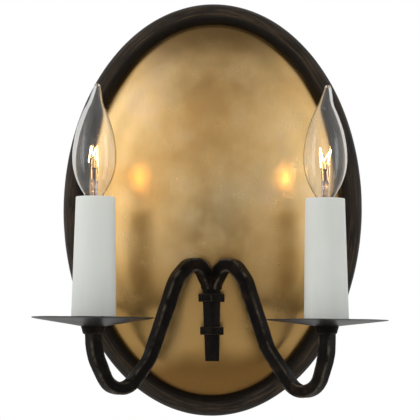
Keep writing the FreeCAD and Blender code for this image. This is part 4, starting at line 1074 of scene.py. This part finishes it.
def build_sky():
    """White behind the object. What lights it is dim ahead, brighter at the sides and dark below."""
    world = bpy.data.worlds.new("pale_studio")
    bpy.context.scene.world = world
    world.use_nodes = True
    world.node_tree.nodes.clear()
    sky = Nodes(world.node_tree)
    add, out, maths, fade = sky.add, sky.out, sky.maths, sky.fade

    def glow(strength, colour=(1.0, 1.0, 1.0)):
        return out("ShaderNodeBackground", {"Color": colour, "Strength": strength})

    def either(share, first, second):
        return out("ShaderNodeMixShader", {0: share, 1: first, 2: second})

    way = add("ShaderNodeSeparateXYZ", {"Vector": add("ShaderNodeTexCoord").outputs["Generated"]}).outputs
    left = fade(way["X"], -0.62, -0.05, 0.95, 0.0)
    right = fade(way["X"], 0.10, 0.66, 0.0, 0.60)
    band = fade(way["Z"], -0.04, 0.16, 0.0, 0.22)
    low = fade(way["Z"], -0.44, -0.26, 0.30, 1.0)
    high = fade(way["Z"], 0.30, 0.42, 1.0, 0.55)
    middle = maths("ADD", 0.34, maths("ADD", band, maths("ADD", left, right)))
    aside = sky.length(way["X"], maths("SUBTRACT", way["Z"], 0.03))
    dim_front = fade(aside, 0.02, 0.24, 0.55, 1.0)
    ahead = maths("MULTIPLY", maths("MULTIPLY", middle, dim_front), maths("MULTIPLY", low, high))
    behind = fade(way["Y"], -0.15, 0.35, 0.0, 1.0)
    shade = out("ShaderNodeMix", {"Factor": behind, "A": ahead, "B": 0.9}, data_type="FLOAT")
    path = add("ShaderNodeLightPath").outputs
    through_glass = glow(0.66, (0.97, 0.98, 1.0))
    lit = either(path["Is Transmission Ray"], glow(shade), through_glass)
    add("ShaderNodeOutputWorld", {"Surface": either(path["Is Camera Ray"], lit, glow(1.0))})


def build_floor():
    """Plain pale floor."""
    def build(bm):
        bmesh.ops.create_grid(bm, x_segments=1, y_segments=1, size=FLOOR_REACH,
                              matrix=Matrix.Translation((0, 0, FLOOR_HEIGHT)))
    mesh = mesh_from("floor", build)
    floor = bpy.data.objects.new("floor", mesh)
    bpy.context.scene.collection.objects.link(floor)
    pale = Finish("pale_floor", Roughness=0.8)
    pale.set(Base_Color=pale.mix(pale.noise(8.0), (0.72, 0.72, 0.71), (0.76, 0.76, 0.75)))
    mesh.materials.append(pale.material)


# The camera stands at the photograph's place, found from the oval, the pans and the sleeves.
CAMERA_PLACE = Vector((26.3, -1746.0, -106.13)) * MM
CAMERA_YAW = -0.0163
CAMERA_PITCH = 0.0607
CAMERA_ROLL = 0.0083
FOCAL_PIXELS = 2263.41
FRAME_PIXELS = 420
SENSOR_WIDTH = 36.0


def build_camera():
    """Camera whose lens and turn come from the fit to the photograph."""
    lens = bpy.data.cameras.new("camera")
    lens.sensor_width = SENSOR_WIDTH
    lens.lens = FOCAL_PIXELS / FRAME_PIXELS * SENSOR_WIDTH
    lens.clip_start = 0.05
    camera = bpy.data.objects.new("camera", lens)
    bpy.context.scene.collection.objects.link(camera)
    bpy.context.scene.camera = camera
    level = Vector((math.cos(CAMERA_YAW), -math.sin(CAMERA_YAW), 0.0))
    ahead = Vector((math.sin(CAMERA_YAW) * math.cos(CAMERA_PITCH),
                    math.cos(CAMERA_YAW) * math.cos(CAMERA_PITCH), math.sin(CAMERA_PITCH)))
    above = level.cross(ahead)
    right = level * math.cos(CAMERA_ROLL) + above * math.sin(CAMERA_ROLL)
    up = above * math.cos(CAMERA_ROLL) - level * math.sin(CAMERA_ROLL)
    turn = Matrix((right, up, -ahead)).transposed()
    camera.matrix_world = Matrix.Translation(CAMERA_PLACE) @ turn.to_4x4()


# ---- build

dress_frame_nodes()
build_rim()
build_plate()
build_arms()
build_stem_ironwork()
build_crotch_weld()
build_pans()
build_back_work()
build_sleeves()
build_glass()
build_filaments()
build_softboxes()
build_sky()
build_floor()
build_camera()
bpy.context.scene.view_settings.view_transform = "Standard"
